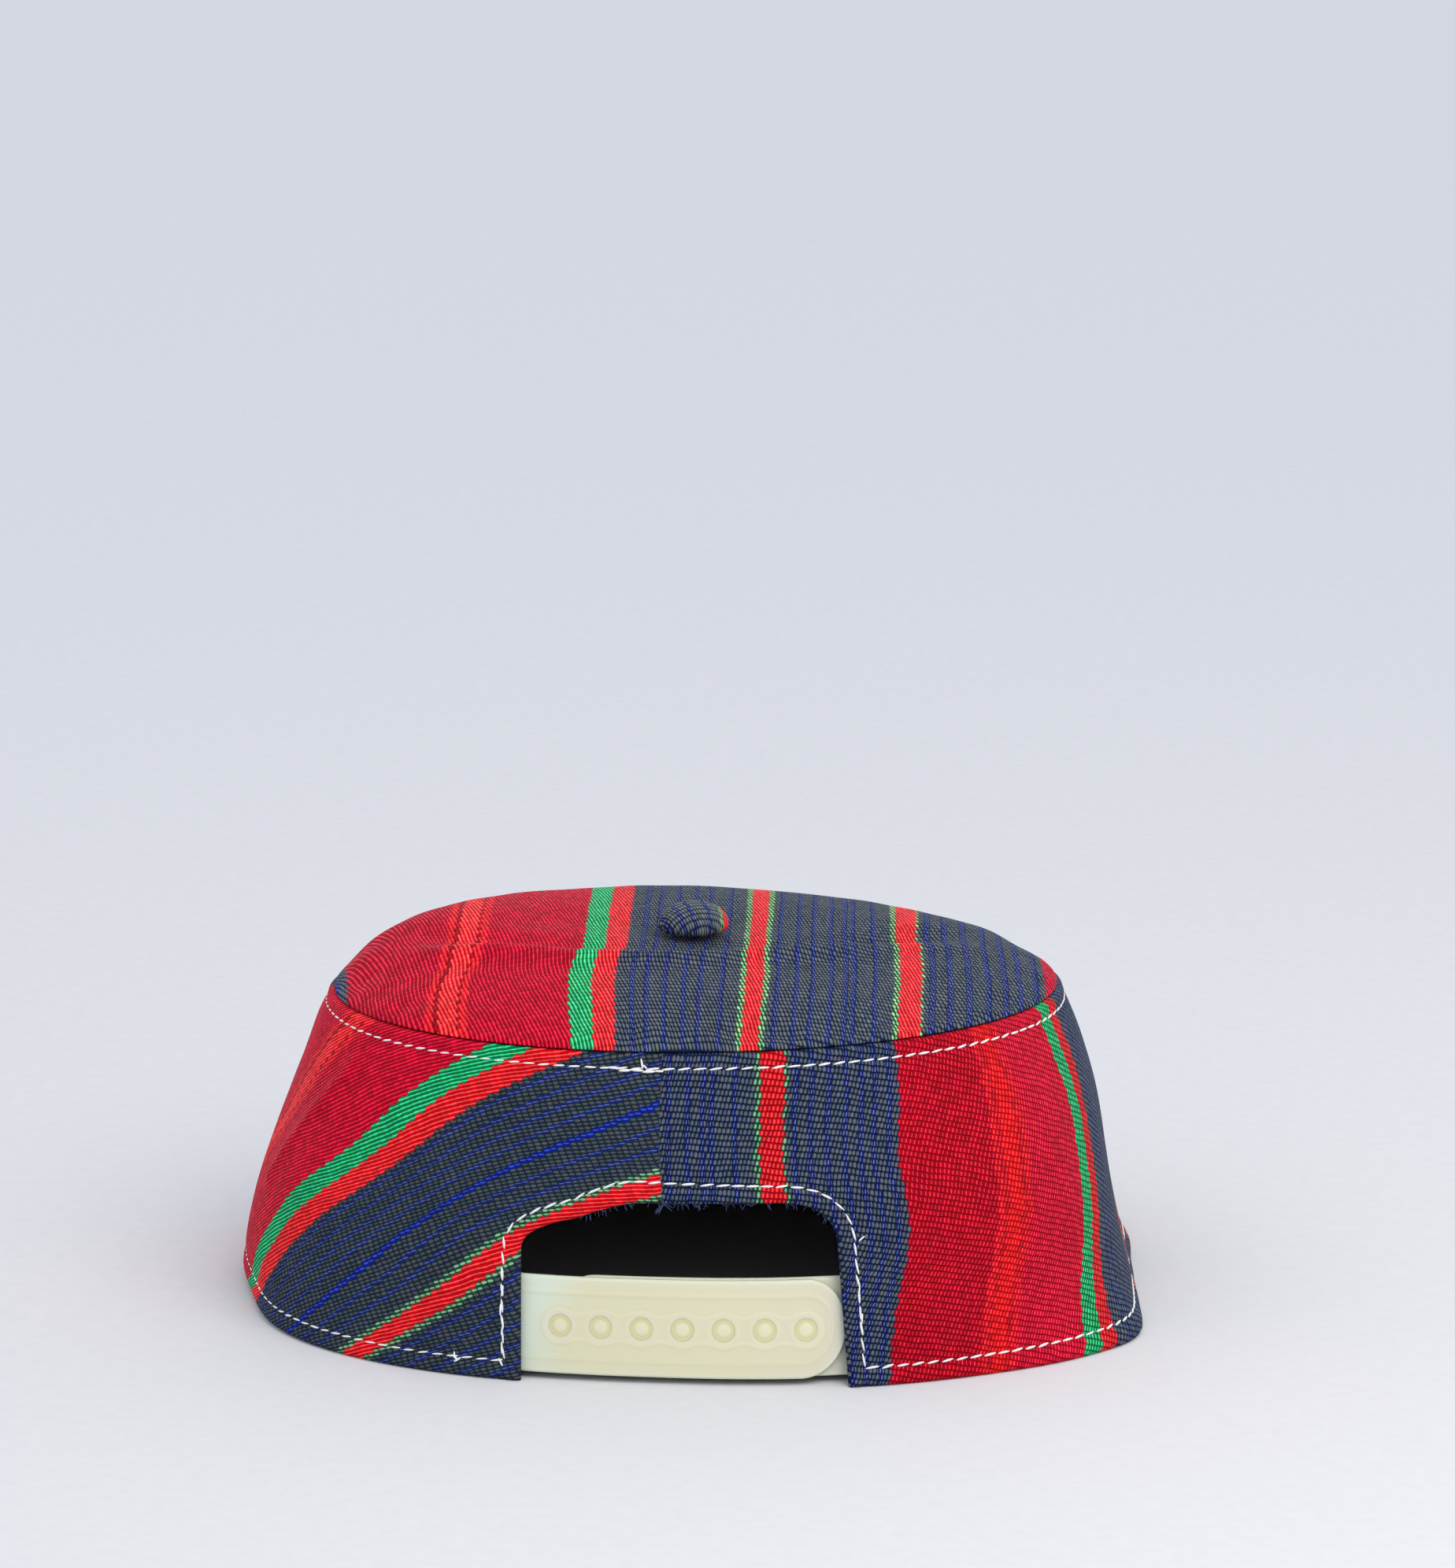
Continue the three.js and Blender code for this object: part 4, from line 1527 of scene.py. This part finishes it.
def woven_cloth(name, yarns, weave, pinstripes, bold_reach=0):
    """Striped cloth: rows of raised threads, each row set over a little from the last."""
    recipe = Recipe(name)
    flat = recipe.uv("weave")
    across, along = recipe.parts(wandering(recipe, flat))
    rows = along / weave.row
    shift = (rows.floor() * weave.set_over).fraction()
    columns = across / THREAD.across + shift
    stripe_at = in_repeat((columns.floor() + 0.5 - shift) * THREAD.across)
    y = rows.fraction() - 0.5
    slant = y * weave.lean
    spun = stripe_thread(recipe, yarns, stripe_at, columns.fraction() - 0.5 + slant)
    zigzag = ((rows.floor() * 0.5).fraction() * 4 - 1) * PINSTRIPE.zigzag
    pin_at = in_repeat(across + zigzag)
    off_pin = pin_at - nearest_place(recipe, pin_at, pinstripes)
    spun = pinstripe_thread(recipe, spun, off_pin, PINSTRIPE.reach, yarns["pinstripe"], slant)
    off_bold = pin_at - BOLD_PINSTRIPE.at
    spun = pinstripe_thread(recipe, spun, off_bold, bold_reach, yarns["royal"], slant)

    cell = recipe.node("ShaderNodeCombineXYZ", {}, [columns.floor(), rows.floor(), 0.0])
    chance = recipe.chance(cell)
    fibre = recipe.noise(flat, FIBRE_GRAIN, 2.0)
    width = spun.width * chance.between(*WIDTHS) * (1 + y * weave.taper)
    away = (spun.x * (2 * THREAD.across) / width) ** 2 + (y / spun.length) ** 2
    raised = (1 - away).clamped()
    cover = (raised * THREAD.sharpness).clamped()
    row_edge = abs(y).ramp(*ROW_EDGE)
    # Between rows the ground is darkened towards black as painted shade; the raised threads cover it, their
    # colour partly a painted highlight.
    body = recipe.mix(cover, recipe.mix(row_edge * weave.gap, spun.ground, GAP_SHADE_BLACK), spun.thread)
    body = dyed(recipe, shaded(recipe, body, flat, chance, fibre), cell)
    height = raised**0.5 * RELIEF.thread + (1 - row_edge) * weave.gap
    height = height + chance * RELIEF.uneven + fibre * RELIEF.fibre
    bump = recipe.bump(height, 1.0, THREAD.bump)
    recipe.surface(base_color=body, roughness=0.8 - cover * 0.2, normal=bump)
    return recipe.fixed(specular_ior_level=0.05, sheen_weight=0.05, sheen_roughness=0.25)


# Black cloth for the inside of the hat, made darker than real cloth: its near-black is partly painted shade
# inside the hat.
def black_lining_and_shade():
    recipe = Recipe("black_lining_and_shade")
    grain = recipe.noise(recipe.place(), 900.0, 3.0)
    colour = recipe.mix(grain, (0.0016, 0.0016, 0.0012, 1), (0.0042, 0.004, 0.003, 1))
    recipe.surface(base_color=colour, roughness=0.95, normal=recipe.bump(grain, 0.4, 0.0002))
    return recipe.fixed(specular_ior_level=0.0)


IVORY = paint(206, 204, 175)
COOL_WHITE = paint(203, 217, 202)
# Colours of the painted shade and the painted highlight on the moulded lines, the holes and the peg tops.
SHADE_YELLOW = paint(200, 198, 150)
HIGHLIGHT_CREAM = paint(214, 208, 183)
WARM_END = paint(198, 189, 178)
CLOUDED_CREAM = paint(210, 203, 183)
THREAD_SHADE = paint(208, 210, 214)
THREAD_WHITE = paint(240, 240, 236)
FRAY_BLUE = paint(44, 58, 110)
FRAY_GREY = paint(70, 84, 120)
# The painted highlight on each peg's top, outward in, and the run over which the straps turn warm (mm).
PEG_TOP = (1.5, 1.1)
WARM_RUN = (4, 26)
# Runs over which each strap turns cool towards its ends (mm). The inner one's left end lies hidden.
OUTER_COOLS = ((-24, -33), (24, 30))
INNER_COOLS = ((-60, -61), (24, 30))


def snap_plastic(name, cool_before, cool_after):
    """Milky plastic, cooler where the strap is single, with painted highlights on its moulded lines, rims,
    peg tops and edges, and painted shade beside the lines and round each hole.
    """
    recipe = Recipe(name)
    run, from_chain = recipe.parts(recipe.uv("plate"))
    from_edge, from_snap = recipe.parts(recipe.uv("relief"))
    single = (run.ramp(*cool_before) + run.ramp(*cool_after)).clamped()
    colour = recipe.mix(single, IVORY, COOL_WHITE)
    # Where each tint lies, its strength and its colour, each laid over those before it.
    for where, strength, tint in (
        (recipe.noise(recipe.place(), 60.0, 2.0), 0.3, CLOUDED_CREAM),
        (run.ramp(*WARM_RUN), 0.4, WARM_END),
        # Painted highlights on the hole rims and on the chain line, painted shade just outside the chain
        # line and just inside the border line.
        (from_snap.bell(HOLE_RIM.radius, 0.4), 0.5, HIGHLIGHT_CREAM),
        (from_chain.bell(0, 0.4), 0.6, HIGHLIGHT_CREAM),
        (from_chain.bell(0.5, 0.25), 0.35, SHADE_YELLOW),
        (from_edge.bell(BORDER_LINE.inside + 0.35, 0.2), 0.3, SHADE_YELLOW),
        # A painted highlight along the rounded edges, painted shade round each hole, and a painted
        # highlight on each peg's top.
        (from_edge.bell(0.2, 0.5), 0.4, COOL_WHITE),
        (from_snap.ramp(SNAP.hole_radius + 0.2, SNAP.hole_radius - 0.1), 0.9, SHADE_YELLOW),
        (from_snap.ramp(*PEG_TOP), 0.9, HIGHLIGHT_CREAM),
    ):
        colour = recipe.mix(where * strength, colour, tint)
    bump = recipe.bump(recipe.noise(recipe.place(), 2500.0, 1.0), 0.2, 0.00005)
    recipe.surface(base_color=colour, roughness=0.42, normal=bump)
    recipe.fixed(subsurface_weight=0.3, subsurface_radius=(0.0015, 0.0015, 0.001), subsurface_scale=1.0)
    return recipe.fixed(specular_ior_level=0.3)


def white_thread():
    recipe = Recipe("white_thread")
    ply = recipe.noise(recipe.place(), 3000.0, 1.0)
    colour = recipe.mix(ply, THREAD_SHADE, THREAD_WHITE)
    return recipe.surface(base_color=colour, roughness=0.7, normal=recipe.bump(ply, 0.4, 0.0001))


def frayed_yarn():
    recipe = Recipe("frayed_yarn")
    colour = recipe.mix(recipe.noise(recipe.place(), 500.0, 1.0), FRAY_BLUE, FRAY_GREY)
    return recipe.surface(base_color=colour, roughness=0.8)


# Stage: floor, light and camera.

FLOOR_SIZE = 6
FLOOR_GREYS = (paint(200, 201, 206), paint(208, 209, 213))
SKY = Sizes(colour=(0.93, 0.955, 1.0, 1), strength=1.12)
KEY = Sizes(place=(0.35, -0.45, 0.6), aim=(0, -0.1, 0), size=0.5, power=2.6, tint=(1, 0.93, 0.82))
PHOTO = Sizes(width=1848, height=1992)
CAMERA = Sizes(distance=1400, elevation=16.35, focal=8610, origin_across=884, origin_down=1610)
SENSOR = 36


def floor():
    bm = bmesh.new()
    bmesh.ops.create_grid(bm, x_segments=8, y_segments=8, size=FLOOR_SIZE)
    mesh = bpy.data.meshes.new("floor")
    bm.to_mesh(mesh)
    bm.free()
    recipe = Recipe("floor_paper")
    colour = recipe.mix(recipe.noise(recipe.place(), 300.0, 2.0), *FLOOR_GREYS)
    mesh.materials.append(recipe.surface(base_color=colour, roughness=0.9))
    obj = bpy.data.objects.new("floor", mesh)
    bpy.context.scene.collection.objects.link(obj)


def key_light():
    data = bpy.data.lights.new("key", "AREA")
    data.shape = "SQUARE"
    data.size = KEY.size
    data.energy = KEY.power
    data.color = KEY.tint
    obj = bpy.data.objects.new("key", data)
    obj.location = KEY.place
    obj.rotation_mode = "QUATERNION"
    obj.rotation_quaternion = (Vector(KEY.aim) - Vector(KEY.place)).to_track_quat("-Z", "Y")
    obj.visible_camera = False
    bpy.context.scene.collection.objects.link(obj)


def sky():
    world = bpy.data.worlds.new("sky")
    world.use_nodes = True
    background = world.node_tree.nodes["Background"]
    background.inputs["Color"].default_value = SKY.colour
    background.inputs["Strength"].default_value = SKY.strength
    bpy.context.scene.world = world


def camera():
    """The camera stands where the rim's middle falls on its place in the photograph."""
    elevation = math.radians(CAMERA.elevation)
    data = bpy.data.cameras.new("camera")
    data.sensor_width = SENSOR
    data.lens = SENSOR * CAMERA.focal / PHOTO.height
    pitch = -elevation + math.atan((CAMERA.origin_down - PHOTO.height / 2) / CAMERA.focal)
    yaw = math.atan((PHOTO.width / 2 - CAMERA.origin_across) / CAMERA.focal) / math.cos(pitch)
    ahead = Vector((math.sin(yaw) * math.cos(pitch), math.cos(yaw) * math.cos(pitch), math.sin(pitch)))
    obj = bpy.data.objects.new("camera", data)
    stand = Vector((0, -math.cos(elevation), math.sin(elevation))) * CAMERA.distance
    obj.location = (stand + CENTRING) * METRES
    obj.rotation_mode = "QUATERNION"
    obj.rotation_quaternion = ahead.to_track_quat("-Z", "Y")
    data.clip_start = 0.05
    data.clip_end = 50
    bpy.context.scene.collection.objects.link(obj)
    bpy.context.scene.camera = obj


def build():
    lining = black_lining_and_shade()
    bold_reach = BOLD_PINSTRIPE.reach
    left_cloth = woven_cloth("left_cloth", LEFT_YARNS, SOFT_SLANTED, LEFT_PINSTRIPES, bold_reach)
    right_cloth = woven_cloth("right_cloth", RIGHT_YARNS, ROWED, PINSTRIPES)
    top_cloth = woven_cloth("top_cloth", YARNS, SLANTED, PINSTRIPES)
    covering = woven_cloth("button_covering", BUTTON_YARNS, SLANTED, PINSTRIPES)
    outer_plastic = snap_plastic("outer_plastic", *OUTER_COOLS)
    inner_plastic = snap_plastic("inner_plastic", *INNER_COOLS)
    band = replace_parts(band_cloth([left_cloth, lining, right_cloth]), "side_band")
    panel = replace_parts(panel_cloth([top_cloth, lining]), "top_panel")
    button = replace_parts(button_cloth([covering]), "top_button")
    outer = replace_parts(outer_strap(outer_plastic), "strap_outer")
    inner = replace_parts(inner_strap(inner_plastic), "strap_inner")
    stitches(white_thread())
    frays(frayed_yarn())
    floor()
    sky()
    key_light()
    camera()
    bpy.context.scene.view_settings.view_transform = "Standard"


build()

bpy.context.view_layer.update()
